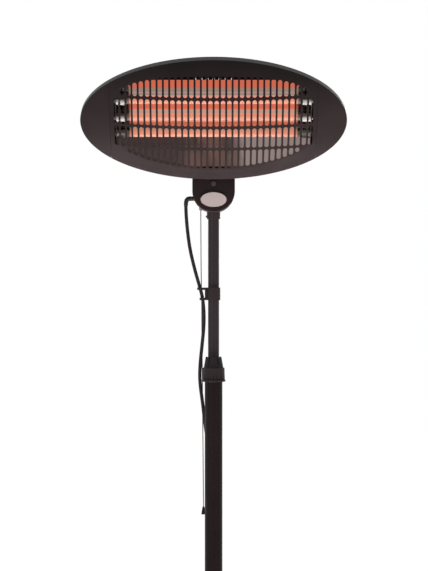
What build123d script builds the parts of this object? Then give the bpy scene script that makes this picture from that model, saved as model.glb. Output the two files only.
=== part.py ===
from build123d import *

import math
import os

# Free-standing oval infrared patio heater: a weighted round base, a two-section lower mast with a
# twist-lock collar, a telescoping upper tube, a switch box and a tilting head with three quartz
# tubes behind a punched front. Millimetres and degrees. The origin is on the floor under the mast,
# +Z is up and the heater radiates towards -Y.

# Clearances
fit_gap = 0.05          # round pieces seated in each other
turn_gap = 0.3          # surfaces that slide or turn past each other
bolt_gap = 0.1          # shanks in their holes
seam_gap = 0.4          # visible seams between covers

# Base
base_radius = 250
foot_radius = 16
foot_height = 8
feet_circle_radius = 215
feet_count = 5
pan_thickness = 2
weight_radius = 180
weight_thickness = 18
cover_thickness = 1.2
cover_skirt = 5
cover_boss_radius = 62
cover_height = 46
cover_bulge = 9

# Mast
lower_tube_radius = 17.5
upper_tube_radius = 11
tube_wall = 1.5
socket_wall = 4
socket_height = 46
foot_flange_radius = 58
foot_flange_thickness = 6
foot_bolt_circle_radius = 42
foot_bolt_count = 4
foot_bolt_radius = 4
foot_bolt_length = 20
bolt_head_radius = 6.5
bolt_head_height = 5.3
mast_joint_height = 640
coupler_length = 90
coupler_wall = 2.4
coupler_screw_radius = 2.5
coupler_screw_head_radius = 4.4
coupler_screw_head_height = 2.4
coupler_screw_spacing = 50

# Collar at the top of the lower mast
collar_height = 1250
collar_flange_radius = 23.6
collar_flange_thickness = 3.4
collar_sleeve_wall = 1.6
collar_sleeve_length = 29
collar_tube_depth = 12
collet_height = 20
collet_top_radius = 15.6
collet_slot_width = 1.6
collet_slot_depth = 15
collet_slot_count = 6
lock_ring_height = 24
lock_ring_bottom_radius = 22.4
lock_ring_top_radius = 21.6
lock_ring_groove_count = 24
lock_ring_groove_radius = 0.8

# Upper mast tube
upper_tube_overlap = 290    # length inside the lower mast at rest
guide_bush_length = 30
guide_bush_floor = 4

# Switch box
box_width = 84
box_rise = 376              # centre of the round bottom, above the collar
box_straight_height = 46    # from that centre to the flat top
box_front = 20
box_back = 22
box_split = 12              # the cover's back edge, in front of the mast axis
box_wall = 2.2
box_edge_radius = 3
neck_radius = 13.4
neck_drop = 12.5            # neck showing under the box
neck_depth = 15             # neck inside the box
neck_screw_radius = 1.5
neck_screw_head_radius = 2
neck_screw_head_height = 2
cover_screw_rise = 15       # above the centre of the round bottom
cover_screw_head_radius = 5
cover_screw_head_height = 1.6
cover_screw_radius = 2
screw_post_radius = 5
badge_drop = 17             # below the centre of the round bottom
badge_width = 51
badge_height = 28.5
badge_thickness = 1.5
gland_drop = 14
gland_radius = 4.5
gland_reach = 3
gland_depth = 8
pull_cord_x = -25.7
pull_cord_y = 15
pull_cord_end_x = -20.2     # where the cord meets its knob
pull_cord_end_y = 21
pull_cord_drop = 627        # that end below the centre of the round bottom
pull_cord_radius = 0.9
eyelet_radius = 3.2
eyelet_bore_radius = 1.3
eyelet_length = 11
pull_knob_length = 15
pull_knob_top_radius = 2
pull_knob_bottom_radius = 4.5

# Pull switch and the parts beside it in the box
switch_side = 6             # its side towards the middle of the box
switch_width = 25
switch_depth = 10
switch_height = 22
lever_arm = 17.7
lever_drop = 8              # lever axis below the switch
lever_thickness = 4
lever_hub_radius = 3.6
lever_tip_radius = 2.4
lever_pin_radius = 1.5
terminal_width = 24
terminal_height = 14
terminal_drop = 20          # below the centre of the round bottom
tip_switch_width = 20
tip_switch_height = 24
tip_switch_rise = 6         # above the centre of the round bottom
inner_part_depth = 11
inner_part_side = 8         # inner side of the right-hand parts

# Tilt joint between the box and the head
pivot_rise = 28             # above the box's flat top
pivot_block_half_width = 22
pivot_block_radius = 14
pivot_flange_half_width = 38
pivot_flange_thickness = 4
pivot_bolt_radius = 4
pivot_head_radius = 7
pivot_head_height = 5
block_screw_x = 31
block_screw_radius = 2
block_screw_head_radius = 4
block_screw_head_height = 2.4
block_screw_length = 8
bracket_thickness = 2.5
bracket_ear_radius = 12
bracket_plate_low = 45      # below the head's centre
bracket_plate_high = 12
bracket_screw_radius = 2.2
bracket_screw_head_radius = 4.2
bracket_screw_head_height = 2.6
bracket_screw_length = 4.5
bracket_screw_x = 13
knob_radius = 14
knob_core_radius = 11
knob_length = 22
knob_lobes = 6
knob_lobe_radius = 3.5
knob_bore_depth = 12

# Head
head_reach = 105            # rim centre in front of the mast axis
head_rise = 54.5            # rim centre above the pivot
head_tilt = 28              # downward tilt at rest
head_half_width = 255
head_half_height = 122
face_rise = 35              # dome of the punched front
rim_depth = 19
back_rise = 50              # dome of the rear shell
back_flat = 41              # the rear dome is cut flat here
skin = 1.5
back_skin = 2.5
lip_length = 8
end_cap_length = 57.5       # from the seam with the front panel to the tip
end_screw_radius = 1.8
end_screw_head_radius = 3.6
end_screw_head_height = 1.8
end_screw_length = 4.5
end_screw_places = (-120, -40, 40, 120)

# Punched front
slot_pitch = 11.9
slot_margin = 6             # from the last column to the seam
slot_width = 8.2
slot_bar = 4.1              # solid bar between two rows of slots
row_bars = (54, -0.5, -46)  # centres of the bars between the rows
zone_side = 40              # round the punched zone, beside it
zone_edge_height = 29       # and above and below it
zone_top_power = 2.8        # the zone's upper half is fuller than an ellipse
zone_centre = 1.5
vent_count = 7
vent_pitch = 12
vent_width = 4.5
vent_length = 26
vent_drop = 48              # centre of the vents below the rim's top

# Heating parts
tube_pitch = 33.8
tube_centre = 4.1           # middle tube above the head's centre
tube_setback = 8            # tube axis behind the rim plane
quartz_radius = 6
quartz_wall = 1.1
element_radius = 4.4
element_end = 12            # the wire coil ends short of its tube
ceramic_radius = 8
ceramic_length = 20
ceramic_cup = 7
ceramic_nose_radius = 4.5
ceramic_nose_length = 4
reflector_end = 11.5        # the reflector ends short of the seam
reflector_sheet = 0.8
reflector_trough = 13       # trough depth behind the ridges
reflector_ridge = 9         # ridges behind the rim plane
reflector_top_edge = 38     # its top edge below the rim's top
reflector_bottom_edge = 29  # its bottom edge above the rim's bottom
reflector_lip = 4           # top and bottom edges before the rim plane
reflector_inset = 5
bracket_plate_sheet = 1.2
bracket_plate_top = 66
bracket_plate_bottom = -58
bracket_plate_front = 1

# Cable clips
clip_wall = 2.3
clip_arm_thickness = 4
clip_height = 25
clip_arm_height = 4.8
clip_hook_wall = 1.8
clip_web = 4                # web between the mast clip's arms, out from its sleeve
mast_clip_drop = 201        # its bottom below the gland
lower_clip_shares = (0.184, 0.64)   # of the lower mast's height
lower_clip_length = 14

# Power cable
cable_radius = 3.5
cable_hook_gap = 1.0
coil_pitch = 7.5
coil_outer_radius = 42
coil_half_turns = 4         # in each of the two layers
coil_sides = 8
coil_centre = (10, 312)
plug_radius = 18
plug_length = 34
plug_neck_radius = 6
plug_neck_length = 18
plug_pin_radius = 2.4
plug_pin_length = 19
plug_pin_spacing = 19

# Levels that follow from the sizes above
pan_top = foot_height + pan_thickness
weight_top = pan_top + weight_thickness
flange_top = weight_top + foot_flange_thickness
cover_top = pan_top + cover_height
lower_bore_radius = lower_tube_radius - tube_wall
upper_bore_radius = upper_tube_radius - tube_wall
socket_radius = lower_tube_radius + socket_wall
lower_tube_top = collar_height + collar_tube_depth
collar_flange_top = collar_height + collar_flange_thickness
collar_sleeve_radius = lower_tube_radius + collar_sleeve_wall
collar_sleeve_top = collar_height + collar_sleeve_length
collar_bore_radius = upper_tube_radius + turn_gap
upper_tube_bottom = collar_height - upper_tube_overlap
box_arc_height = collar_height + box_rise
box_bottom = box_arc_height - box_width / 2
box_top = box_arc_height + box_straight_height
pivot_height = box_top + pivot_rise
neck_bottom = box_bottom - neck_drop
neck_top = box_bottom + neck_depth
pivot_ear_x = pivot_block_half_width + turn_gap
pivot_ear_outer_x = pivot_ear_x + bracket_thickness
pivot_seat_x = pivot_ear_outer_x + turn_gap
back_wall_y = box_back - box_wall
pivot_head_rise = pivot_height + head_rise

# The head is drawn in its own plane: local x to the right, y up the face, z out of the face.
tilt_sine = math.sin(math.radians(head_tilt))
tilt_cosine = math.cos(math.radians(head_tilt))
head_plane = Plane(
    origin=(0, -head_reach, pivot_head_rise), x_dir=(1, 0, 0), z_dir=(0, -tilt_cosine, -tilt_sine)
)
pivot_in_head = head_plane.to_local_coords(Vector(0, 0, pivot_height))
oval_aspect = head_half_width / head_half_height
seam_x = head_half_width - end_cap_length
reflector_half_length = seam_x - reflector_end
quartz_half_length = reflector_half_length - ceramic_length + ceramic_cup
element_half_length = quartz_half_length - element_end
reflector_top = head_half_height - reflector_top_edge
reflector_bottom = reflector_bottom_edge - head_half_height
face_radius = (head_half_height**2 + face_rise**2) / (2 * face_rise)
back_radius = (head_half_height**2 + back_rise**2) / (2 * back_rise)
back_face = -rim_depth - back_flat


def side_plane(x):
    """Plane across the head at x: its first axis runs up the face, its second out of it."""
    return Plane(
        origin=head_plane.origin + Vector(x, 0, 0), x_dir=head_plane.y_dir, z_dir=(1, 0, 0)
    )


def tube_between(outer_radius, inner_radius, bottom, top):
    """Upright tube about the mast axis."""
    with BuildPart() as tube:
        with BuildSketch(Plane.XY.offset(bottom)):
            Circle(outer_radius)
            Circle(inner_radius, mode=Mode.SUBTRACT)
        extrude(amount=top - bottom)
    return tube.part


def oval_front(inset):
    """Oval solid under the domed front, inset by a skin, down to the rear edge of the rim."""
    with BuildPart(head_plane) as oval:
        with Locations((0, 0, face_rise - face_radius)):
            Sphere(face_radius - inset, rotation=(0, 90, 0))
        scale(by=(oval_aspect, 1, 1), about=(0, 0, 0))
        with BuildSketch(head_plane.offset(-rim_depth)):
            Ellipse(head_half_width - inset, head_half_height - inset)
        extrude(amount=rim_depth + face_rise, mode=Mode.INTERSECT)
    return oval.part


def oval_back(inset):
    """Oval solid of the rear dome, inset by a skin, with its flat middle."""
    with BuildPart(head_plane) as oval:
        with Locations((0, 0, back_radius - back_rise - rim_depth)):
            Sphere(back_radius - inset, rotation=(0, 90, 0))
        scale(by=(oval_aspect, 1, 1), about=(0, 0, 0))
        with BuildSketch(head_plane.offset(back_face + inset)):
            Rectangle(3 * head_half_width, 3 * head_half_height)
        extrude(amount=back_flat - inset, mode=Mode.INTERSECT)
    return oval.part


def box_outline(inset):
    """The switch box's outline, flat on top and round below."""
    half_width = box_width / 2 - inset
    top = box_top - inset
    with BuildSketch() as outline:
        with Locations((0, box_arc_height)):
            Circle(half_width)
            Rectangle(2 * half_width, top - box_arc_height, align=(Align.CENTER, Align.MIN))
    return outline.sketch


# ---------------------------------------------------------------- base
with BuildPart() as rubber_feet:
    with BuildSketch():
        with PolarLocations(feet_circle_radius, feet_count, start_angle=90):
            Circle(foot_radius)
    extrude(amount=foot_height)

with BuildPart() as base_pan:
    with BuildSketch(Plane.XY.offset(foot_height)):
        Circle(base_radius)
    extrude(amount=pan_thickness)

with BuildPart() as base_weight:
    with BuildSketch(Plane.XY.offset(pan_top)):
        Circle(weight_radius)
    extrude(amount=weight_thickness)
    chamfer(base_weight.edges().sort_by(Axis.Z)[-1], weight_thickness / 6)
    with BuildSketch(Plane.XY.offset(weight_top)):
        with PolarLocations(foot_bolt_circle_radius, foot_bolt_count, start_angle=45):
            Circle(foot_bolt_radius + fit_gap)
    extrude(amount=-weight_thickness, mode=Mode.SUBTRACT)

with BuildPart() as mast_foot:
    with BuildSketch(Plane.XY.offset(weight_top)):
        Circle(foot_flange_radius)
        with PolarLocations(foot_bolt_circle_radius, foot_bolt_count, start_angle=45):
            Circle(foot_bolt_radius + bolt_gap, mode=Mode.SUBTRACT)
    extrude(amount=foot_flange_thickness)
    add(tube_between(socket_radius, lower_tube_radius + fit_gap, flange_top, flange_top + socket_height))
    chamfer(mast_foot.edges().filter_by(GeomType.CIRCLE).group_by(Axis.Z)[-1].sort_by(
        SortBy.LENGTH)[-1], socket_wall / 4)

with BuildPart() as foot_bolts:
    with BuildSketch(Plane.XY.offset(flange_top)):
        with PolarLocations(foot_bolt_circle_radius, foot_bolt_count, start_angle=45):
            RegularPolygon(bolt_head_radius, 6)
    extrude(amount=bolt_head_height)
    with BuildSketch(Plane.XY.offset(flange_top)):
        with PolarLocations(foot_bolt_circle_radius, foot_bolt_count, start_angle=45):
            Circle(foot_bolt_radius)
    extrude(amount=-foot_bolt_length)

with BuildPart() as base_cover:
    cover_hole_radius = socket_radius + seam_gap
    skirt_top = pan_top + cover_skirt
    arc_middle = ((cover_boss_radius + base_radius) / 2, (cover_top + skirt_top) / 2 + cover_bulge)
    inner_radius = base_radius - cover_thickness
    with BuildSketch(Plane.XZ):
        with BuildLine():
            Polyline((cover_boss_radius, cover_top), (cover_hole_radius, cover_top),
                     (cover_hole_radius, cover_top - cover_thickness),
                     (cover_boss_radius, cover_top - cover_thickness))
            ThreePointArc((cover_boss_radius, cover_top - cover_thickness),
                          (arc_middle[0], arc_middle[1] - cover_thickness),
                          (inner_radius, skirt_top - cover_thickness))
            Polyline((inner_radius, skirt_top - cover_thickness), (inner_radius, pan_top),
                     (base_radius, pan_top), (base_radius, skirt_top))
            ThreePointArc((base_radius, skirt_top), arc_middle, (cover_boss_radius, cover_top))
        make_face()
    revolve(axis=Axis.Z)

# ---------------------------------------------------------------- lower mast
coupler_screw_heights = (
    mast_joint_height - coupler_screw_spacing / 2, mast_joint_height + coupler_screw_spacing / 2
)
coupler_radius = lower_bore_radius - fit_gap

with BuildPart() as foot_mast_tube:
    add(tube_between(lower_tube_radius, lower_bore_radius, flange_top, mast_joint_height))
    with BuildSketch(Plane.XZ):
        with Locations((0, coupler_screw_heights[0])):
            Circle(coupler_screw_radius + bolt_gap)
    extrude(amount=-lower_tube_radius, mode=Mode.SUBTRACT)

with BuildPart() as lower_mast_tube:
    add(tube_between(lower_tube_radius, lower_bore_radius, mast_joint_height, lower_tube_top))
    with BuildSketch(Plane.XZ):
        with Locations((0, coupler_screw_heights[1])):
            Circle(coupler_screw_radius + bolt_gap)
    extrude(amount=-lower_tube_radius, mode=Mode.SUBTRACT)

with BuildPart() as mast_coupler:
    add(tube_between(coupler_radius, coupler_radius - coupler_wall,
                     mast_joint_height - coupler_length / 2, mast_joint_height + coupler_length / 2))
    with BuildSketch(Plane.XZ):
        with Locations(*[(0, height) for height in coupler_screw_heights]):
            Circle(coupler_screw_radius + fit_gap)
    extrude(amount=-lower_tube_radius, mode=Mode.SUBTRACT)

with BuildPart() as coupler_screws:
    shank_start = coupler_radius - coupler_wall
    with BuildSketch(Plane.XZ.offset(-shank_start)):
        with Locations(*[(0, height) for height in coupler_screw_heights]):
            Circle(coupler_screw_radius)
    extrude(amount=shank_start - lower_tube_radius)
    with BuildSketch(Plane.XZ.offset(-lower_tube_radius)):
        with Locations(*[(0, height) for height in coupler_screw_heights]):
            Circle(coupler_screw_head_radius)
    extrude(amount=-coupler_screw_head_height)

# ---------------------------------------------------------------- collar
with BuildPart() as collar_socket:
    add(tube_between(collar_flange_radius, lower_tube_radius + fit_gap, collar_height, collar_flange_top))
    add(tube_between(collar_sleeve_radius, lower_tube_radius + fit_gap, collar_flange_top, lower_tube_top))
    add(tube_between(collar_sleeve_radius, collar_bore_radius, lower_tube_top, collar_sleeve_top))
    fillet(collar_socket.edges().filter_by(GeomType.CIRCLE).group_by(Axis.Z)[0].sort_by(
        SortBy.LENGTH)[-1], collar_flange_thickness / 5)

with BuildPart() as lock_collet:
    collet_top = collar_sleeve_top + collet_height
    with BuildSketch(Plane.XZ):
        with BuildLine():
            Polyline((collar_bore_radius, collar_sleeve_top), (collar_sleeve_radius, collar_sleeve_top),
                     (collet_top_radius, collet_top), (collar_bore_radius, collet_top), close=True)
        make_face()
    revolve(axis=Axis.Z)
    with BuildSketch(Plane.XY.offset(collet_top)):
        with PolarLocations(collar_sleeve_radius / 2, collet_slot_count):
            Rectangle(collar_sleeve_radius, collet_slot_width)
    extrude(amount=-collet_slot_depth, mode=Mode.SUBTRACT)

with BuildPart() as lock_ring:
    ring_bottom = collar_flange_top + turn_gap
    ring_top = ring_bottom + lock_ring_height
    ring_bore = collar_sleeve_radius + turn_gap
    with BuildSketch(Plane.XZ):
        with BuildLine():
            Polyline((ring_bore, ring_bottom), (lock_ring_bottom_radius, ring_bottom),
                     (lock_ring_top_radius, ring_top), (ring_bore, ring_top), close=True)
        make_face()
    revolve(axis=Axis.Z)
    chamfer(lock_ring.edges().filter_by(GeomType.CIRCLE).group_by(Axis.Z)[-1].sort_by(
        SortBy.LENGTH)[-1], lock_ring_groove_radius)
    with BuildSketch(Plane.XY.offset(ring_bottom)):
        with PolarLocations(lock_ring_bottom_radius, lock_ring_groove_count):
            RegularPolygon(lock_ring_groove_radius, 4)
    extrude(amount=lock_ring_height, mode=Mode.SUBTRACT)

# ---------------------------------------------------------------- upper mast
with BuildPart() as upper_mast_tube:
    add(tube_between(upper_tube_radius, upper_bore_radius, upper_tube_bottom, neck_top))

with BuildPart() as guide_bush:
    bush_bottom = upper_tube_bottom - guide_bush_floor
    add(tube_between(lower_bore_radius - turn_gap, upper_tube_radius + fit_gap,
                     upper_tube_bottom, bush_bottom + guide_bush_length))
    with BuildSketch(Plane.XY.offset(bush_bottom)):
        Circle(lower_bore_radius - turn_gap)
        Circle(upper_bore_radius, mode=Mode.SUBTRACT)
    extrude(amount=guide_bush_floor)
    fillet(guide_bush.edges().filter_by(GeomType.CIRCLE).group_by(Axis.Z)[0].sort_by(
        SortBy.LENGTH)[-1], guide_bush_floor / 4)

# ---------------------------------------------------------------- switch box
neck_screw_height = neck_bottom + neck_drop / 2.5

with BuildPart() as neck_sleeve:
    add(tube_between(neck_radius, upper_tube_radius + fit_gap, neck_bottom, neck_top))
    with BuildSketch(Plane.YZ):
        with Locations((0, neck_screw_height)):
            Circle(neck_screw_radius + fit_gap)
    extrude(amount=-neck_radius, mode=Mode.SUBTRACT)

with BuildPart() as neck_screw:
    with BuildSketch(Plane.YZ.offset(-upper_tube_radius - fit_gap)):
        with Locations((0, neck_screw_height)):
            Circle(neck_screw_radius)
    extrude(amount=upper_tube_radius + fit_gap - neck_radius)
    with BuildSketch(Plane.YZ.offset(-neck_radius)):
        with Locations((0, neck_screw_height)):
            Circle(neck_screw_head_radius)
    extrude(amount=-neck_screw_head_height)

cover_screw_height = box_arc_height + cover_screw_rise
gland_height = box_arc_height - gland_drop
eyelet_top = box_arc_height - math.sqrt((box_width / 2) ** 2 - pull_cord_x**2) + eyelet_length / 1.5

with BuildPart() as box_openings:
    with BuildSketch(Plane.XY.offset(neck_bottom)):
        Circle(neck_radius + fit_gap)
    extrude(amount=neck_top - neck_bottom)
    with BuildSketch(Plane.XY.offset(eyelet_top - eyelet_length)):
        with Locations((pull_cord_x, pull_cord_y)):
            Circle(eyelet_radius + fit_gap)
    extrude(amount=eyelet_length)
    with BuildSketch(Plane.YZ.offset(-box_width / 2)):
        with Locations((0, gland_height)):
            Circle(gland_radius + fit_gap)
    extrude(amount=gland_depth)

with BuildPart() as box_rear_shell:
    with BuildSketch(Plane.XZ.offset(box_split)):
        add(box_outline(0))
    extrude(amount=-box_split - box_back)
    fillet(box_rear_shell.faces().sort_by(Axis.Y)[-1].edges(), box_edge_radius)
    with BuildSketch(Plane.XZ.offset(box_split)):
        add(box_outline(box_wall))
    extrude(amount=-box_split - back_wall_y, mode=Mode.SUBTRACT)
    with BuildSketch(Plane.XZ.offset(box_split)):
        with Locations((0, cover_screw_height)):
            Circle(screw_post_radius)
    extrude(amount=-box_split - back_wall_y)
    with BuildSketch(Plane.XZ.offset(box_split)):
        with Locations((0, cover_screw_height)):
            Circle(cover_screw_radius + fit_gap)
    extrude(amount=-box_split, mode=Mode.SUBTRACT)
    with BuildSketch(Plane.XY.offset(box_top)):
        with Locations((-block_screw_x, 0), (block_screw_x, 0)):
            Circle(block_screw_radius + fit_gap)
    extrude(amount=-block_screw_length, mode=Mode.SUBTRACT)
    add(box_openings.part, mode=Mode.SUBTRACT)

with BuildPart() as box_front_cover:
    with BuildSketch(Plane.XZ.offset(box_split)):
        add(box_outline(0))
    extrude(amount=box_front - box_split)
    fillet(box_front_cover.faces().sort_by(Axis.Y)[0].edges(), box_edge_radius)
    with BuildSketch(Plane.XZ.offset(box_split)):
        add(box_outline(box_wall))
    extrude(amount=box_front - box_split - box_wall, mode=Mode.SUBTRACT)
    with BuildSketch(Plane.XZ.offset(box_split)):
        with Locations((0, cover_screw_height)):
            Circle(screw_post_radius)
    extrude(amount=box_front - box_split - box_wall)
    with BuildSketch(Plane.XZ.offset(box_split)):
        with Locations((0, cover_screw_height)):
            Circle(cover_screw_radius + bolt_gap)
    extrude(amount=box_front - box_split, mode=Mode.SUBTRACT)
    add(box_openings.part, mode=Mode.SUBTRACT)

with BuildPart() as cover_screw:
    with BuildSketch(Plane.XZ.offset(box_front)):
        with Locations((0, cover_screw_height)):
            Circle(cover_screw_head_radius)
    extrude(amount=cover_screw_head_height)
    fillet(cover_screw.edges().sort_by(Axis.Y)[0], cover_screw_head_height / 2)
    with BuildSketch(Plane.XZ.offset(box_front)):
        with Locations((0, cover_screw_height)):
            Circle(cover_screw_radius)
    extrude(amount=-box_front)

with BuildPart() as badge_plate:
    with BuildSketch(Plane.XZ.offset(box_front)):
        with Locations((0, box_arc_height - badge_drop)):
            Ellipse(badge_width / 2, badge_height / 2)
    extrude(amount=badge_thickness)

with BuildPart() as cable_gland:
    with BuildSketch(Plane.YZ.offset(-box_width / 2 + gland_depth)):
        with Locations((0, gland_height)):
            Circle(gland_radius)
    extrude(amount=-gland_depth - gland_reach)
    fillet(cable_gland.edges().sort_by(Axis.X)[0], gland_reach / 4)

with BuildPart() as cord_eyelet:
    with BuildSketch(Plane.XY.offset(eyelet_top - eyelet_length)):
        with Locations((pull_cord_x, pull_cord_y)):
            Circle(eyelet_radius)
            Circle(eyelet_bore_radius, mode=Mode.SUBTRACT)
    extrude(amount=eyelet_length)

lever_axis_x = pull_cord_x + lever_arm
lever_axis_z = box_arc_height - lever_drop
lever_front = pull_cord_y - lever_thickness / 2
lever_back = pull_cord_y + lever_thickness / 2

with BuildPart() as pull_switch:
    with BuildSketch(Plane.XZ.offset(-back_wall_y)):
        with Locations((-switch_side, box_arc_height)):
            Rectangle(switch_width, switch_height, align=(Align.MAX, Align.MIN))
        with Locations((lever_axis_x, box_arc_height)):
            Rectangle(2 * lever_hub_radius, lever_drop, align=(Align.CENTER, Align.MAX))
        with Locations((lever_axis_x, lever_axis_z)):
            Circle(lever_hub_radius)
    extrude(amount=back_wall_y - lever_back - turn_gap)
    with BuildSketch(Plane.XZ.offset(-back_wall_y)):
        with Locations((-switch_side, box_arc_height)):
            Rectangle(switch_width, switch_height, align=(Align.MAX, Align.MIN))
    extrude(amount=switch_depth)
    with BuildSketch(Plane.XZ.offset(-back_wall_y)):
        with Locations((lever_axis_x, lever_axis_z)):
            Circle(lever_pin_radius)
    extrude(amount=back_wall_y - lever_front)

with BuildPart() as switch_lever:
    with BuildSketch(Plane.XZ.offset(-lever_back)):
        with Locations((lever_axis_x, lever_axis_z)):
            Circle(lever_hub_radius)
        with Locations((pull_cord_x, lever_axis_z)):
            Circle(lever_tip_radius)
        make_hull()
        with Locations((lever_axis_x, lever_axis_z)):
            Circle(lever_pin_radius + bolt_gap, mode=Mode.SUBTRACT)
    extrude(amount=lever_thickness)

with BuildPart() as terminal_block:
    terminal_bottom = box_arc_height - terminal_drop
    with BuildSketch(Plane.XZ.offset(-back_wall_y)):
        with Locations((inner_part_side, terminal_bottom)):
            Rectangle(terminal_width, terminal_height, align=(Align.MIN, Align.MIN))
    extrude(amount=inner_part_depth)
    with BuildSketch(Plane.XZ.offset(inner_part_depth - back_wall_y)):
        with Locations(*[(inner_part_side + terminal_width * (i + 0.5) / 3,
                          terminal_bottom + terminal_height / 2) for i in range(3)]):
            Circle(terminal_width / 10)
    extrude(amount=-inner_part_depth / 3, mode=Mode.SUBTRACT)

with BuildPart() as tip_switch:
    with BuildSketch(Plane.XZ.offset(-back_wall_y)):
        with Locations((inner_part_side, box_arc_height + tip_switch_rise)):
            Rectangle(tip_switch_width, tip_switch_height, align=(Align.MIN, Align.MIN))
    extrude(amount=inner_part_depth)
    chamfer(tip_switch.edges().filter_by(Axis.Y), tip_switch_width / 10)

# ---------------------------------------------------------------- tilt joint
with BuildPart() as tilt_block:
    with BuildSketch(Plane.XY.offset(box_top)):
        Rectangle(2 * pivot_flange_half_width, 2 * pivot_block_radius)
        with Locations((-block_screw_x, 0), (block_screw_x, 0)):
            Circle(block_screw_radius + bolt_gap, mode=Mode.SUBTRACT)
    extrude(amount=pivot_flange_thickness)
    fillet(tilt_block.edges().filter_by(Axis.Z).group_by(SortBy.LENGTH)[-1], pivot_flange_thickness / 2)
    with BuildSketch(Plane.YZ.offset(-pivot_block_half_width)):
        with Locations((0, pivot_height)):
            Circle(pivot_block_radius)
        with Locations((0, box_top)):
            Rectangle(2 * pivot_block_radius, pivot_height - box_top, align=(Align.CENTER, Align.MIN))
    extrude(amount=2 * pivot_block_half_width)
    with BuildSketch(Plane.YZ.offset(-pivot_block_half_width)):
        with Locations((0, pivot_height)):
            Circle(pivot_bolt_radius + bolt_gap)
    extrude(amount=2 * pivot_block_half_width, mode=Mode.SUBTRACT)

with BuildPart() as tilt_block_screws:
    block_flange_top = box_top + pivot_flange_thickness
    with BuildSketch(Plane.XY.offset(block_flange_top)):
        with Locations((-block_screw_x, 0), (block_screw_x, 0)):
            Circle(block_screw_head_radius)
    extrude(amount=block_screw_head_height)
    with BuildSketch(Plane.XY.offset(block_flange_top)):
        with Locations((-block_screw_x, 0), (block_screw_x, 0)):
            Circle(block_screw_radius)
    extrude(amount=-block_screw_length)

with BuildPart() as pivot_bolt:
    bolt_tip_x = pivot_seat_x + knob_bore_depth
    with BuildSketch(Plane.YZ.offset(-pivot_seat_x)):
        with Locations((0, pivot_height)):
            Circle(pivot_bolt_radius)
    extrude(amount=pivot_seat_x + bolt_tip_x)
    with BuildSketch(Plane.YZ.offset(-pivot_seat_x)):
        with Locations((0, pivot_height)):
            RegularPolygon(pivot_head_radius, 6)
    extrude(amount=-pivot_head_height)

with BuildPart() as tilt_knob:
    with BuildSketch(Plane.YZ.offset(pivot_seat_x)):
        with Locations((0, pivot_height)):
            Circle(knob_core_radius)
            with PolarLocations(knob_radius - knob_lobe_radius, knob_lobes):
                Circle(knob_lobe_radius)
    extrude(amount=knob_length)
    with BuildSketch(Plane.YZ.offset(pivot_seat_x)):
        with Locations((0, pivot_height)):
            Circle(pivot_bolt_radius + bolt_gap)
    extrude(amount=knob_bore_depth + turn_gap, mode=Mode.SUBTRACT)

bracket_screw_rows = (bracket_ear_radius - bracket_plate_low, bracket_plate_high / 4)
bracket_screw_points = [(x, y) for x in (-bracket_screw_x, bracket_screw_x) for y in bracket_screw_rows]
plate_middle = (bracket_plate_high - bracket_plate_low) / 2

with BuildPart() as head_bracket:
    for ear_x in (-pivot_ear_outer_x, pivot_ear_x):
        with BuildSketch(side_plane(ear_x)):
            with Locations((pivot_in_head.Y, pivot_in_head.Z)):
                Circle(bracket_ear_radius)
            with Locations((plate_middle, back_face - bracket_thickness)):
                Rectangle(bracket_plate_high + bracket_plate_low, bracket_thickness,
                          align=(Align.CENTER, Align.MIN))
            make_hull()
            with Locations((pivot_in_head.Y, pivot_in_head.Z)):
                Circle(pivot_bolt_radius + bolt_gap, mode=Mode.SUBTRACT)
        extrude(amount=bracket_thickness)
    add(oval_back(-seam_gap), mode=Mode.SUBTRACT)
    with BuildSketch(head_plane.offset(back_face - bracket_thickness)):
        with Locations((0, plate_middle)):
            Rectangle(2 * pivot_ear_outer_x, bracket_plate_high + bracket_plate_low)
    extrude(amount=bracket_thickness)
    with BuildSketch(head_plane.offset(back_face)):
        with Locations(*bracket_screw_points):
            Circle(bracket_screw_radius + bolt_gap)
    extrude(amount=-bracket_thickness, mode=Mode.SUBTRACT)

with BuildPart() as bracket_screws:
    with BuildSketch(head_plane.offset(back_face - bracket_thickness)):
        with Locations(*bracket_screw_points):
            Circle(bracket_screw_head_radius)
    extrude(amount=-bracket_screw_head_height)
    with BuildSketch(head_plane.offset(back_face - bracket_thickness)):
        with Locations(*bracket_screw_points):
            Circle(bracket_screw_radius)
    extrude(amount=bracket_screw_length)

# ---------------------------------------------------------------- head shells
with BuildPart() as face_shell:
    add(oval_front(0))
    add(oval_front(skin), mode=Mode.SUBTRACT)

zone_half_width = head_half_width - zone_side
zone_half_height = head_half_height - zone_edge_height
slot_columns = 2 * int((seam_x - slot_margin) / slot_pitch)
columns_edge = slot_pitch * slot_columns / 2


def zone_height(x, power):
    """Half height of the punched zone at x. A power above 2 gives an oval with fuller shoulders."""
    return zone_half_height * (1 - (x / zone_half_width) ** power) ** (1 / power)


def slots_of(column):
    """Centre and length of each slot in one column of the punched front."""
    x = (column + 0.5) * slot_pitch - columns_edge
    outer_x = abs(x) + slot_width / 3
    edges = [zone_centre + zone_height(outer_x, zone_top_power), *row_bars,
             zone_centre - zone_height(outer_x, 2)]
    found = []
    for row, (top, bottom) in enumerate(zip(edges, edges[1:])):
        high = top - (slot_bar / 2 if row else 0)
        low = bottom + (slot_bar / 2 if row < len(row_bars) else 0)
        if high - low > slot_width:
            found.append(((x, (high + low) / 2), high - low))
    return found


end_screw_y = [-head_half_height * math.sqrt(1 - (x / head_half_width) ** 2) for x in end_screw_places]
end_screw_z = -rim_depth + lip_length / 2


def end_screw_plane(x, y):
    """Plane on the lower rim at x, facing out of the rim, half way along the rear shell's lip."""
    normal = Vector(x / head_half_width**2, y / head_half_height**2, 0).normalized()
    place = head_plane.from_local_coords(Vector(x, y, end_screw_z))
    outward = head_plane.x_dir * normal.X + head_plane.y_dir * normal.Y
    return Plane(origin=place, z_dir=outward)


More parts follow.
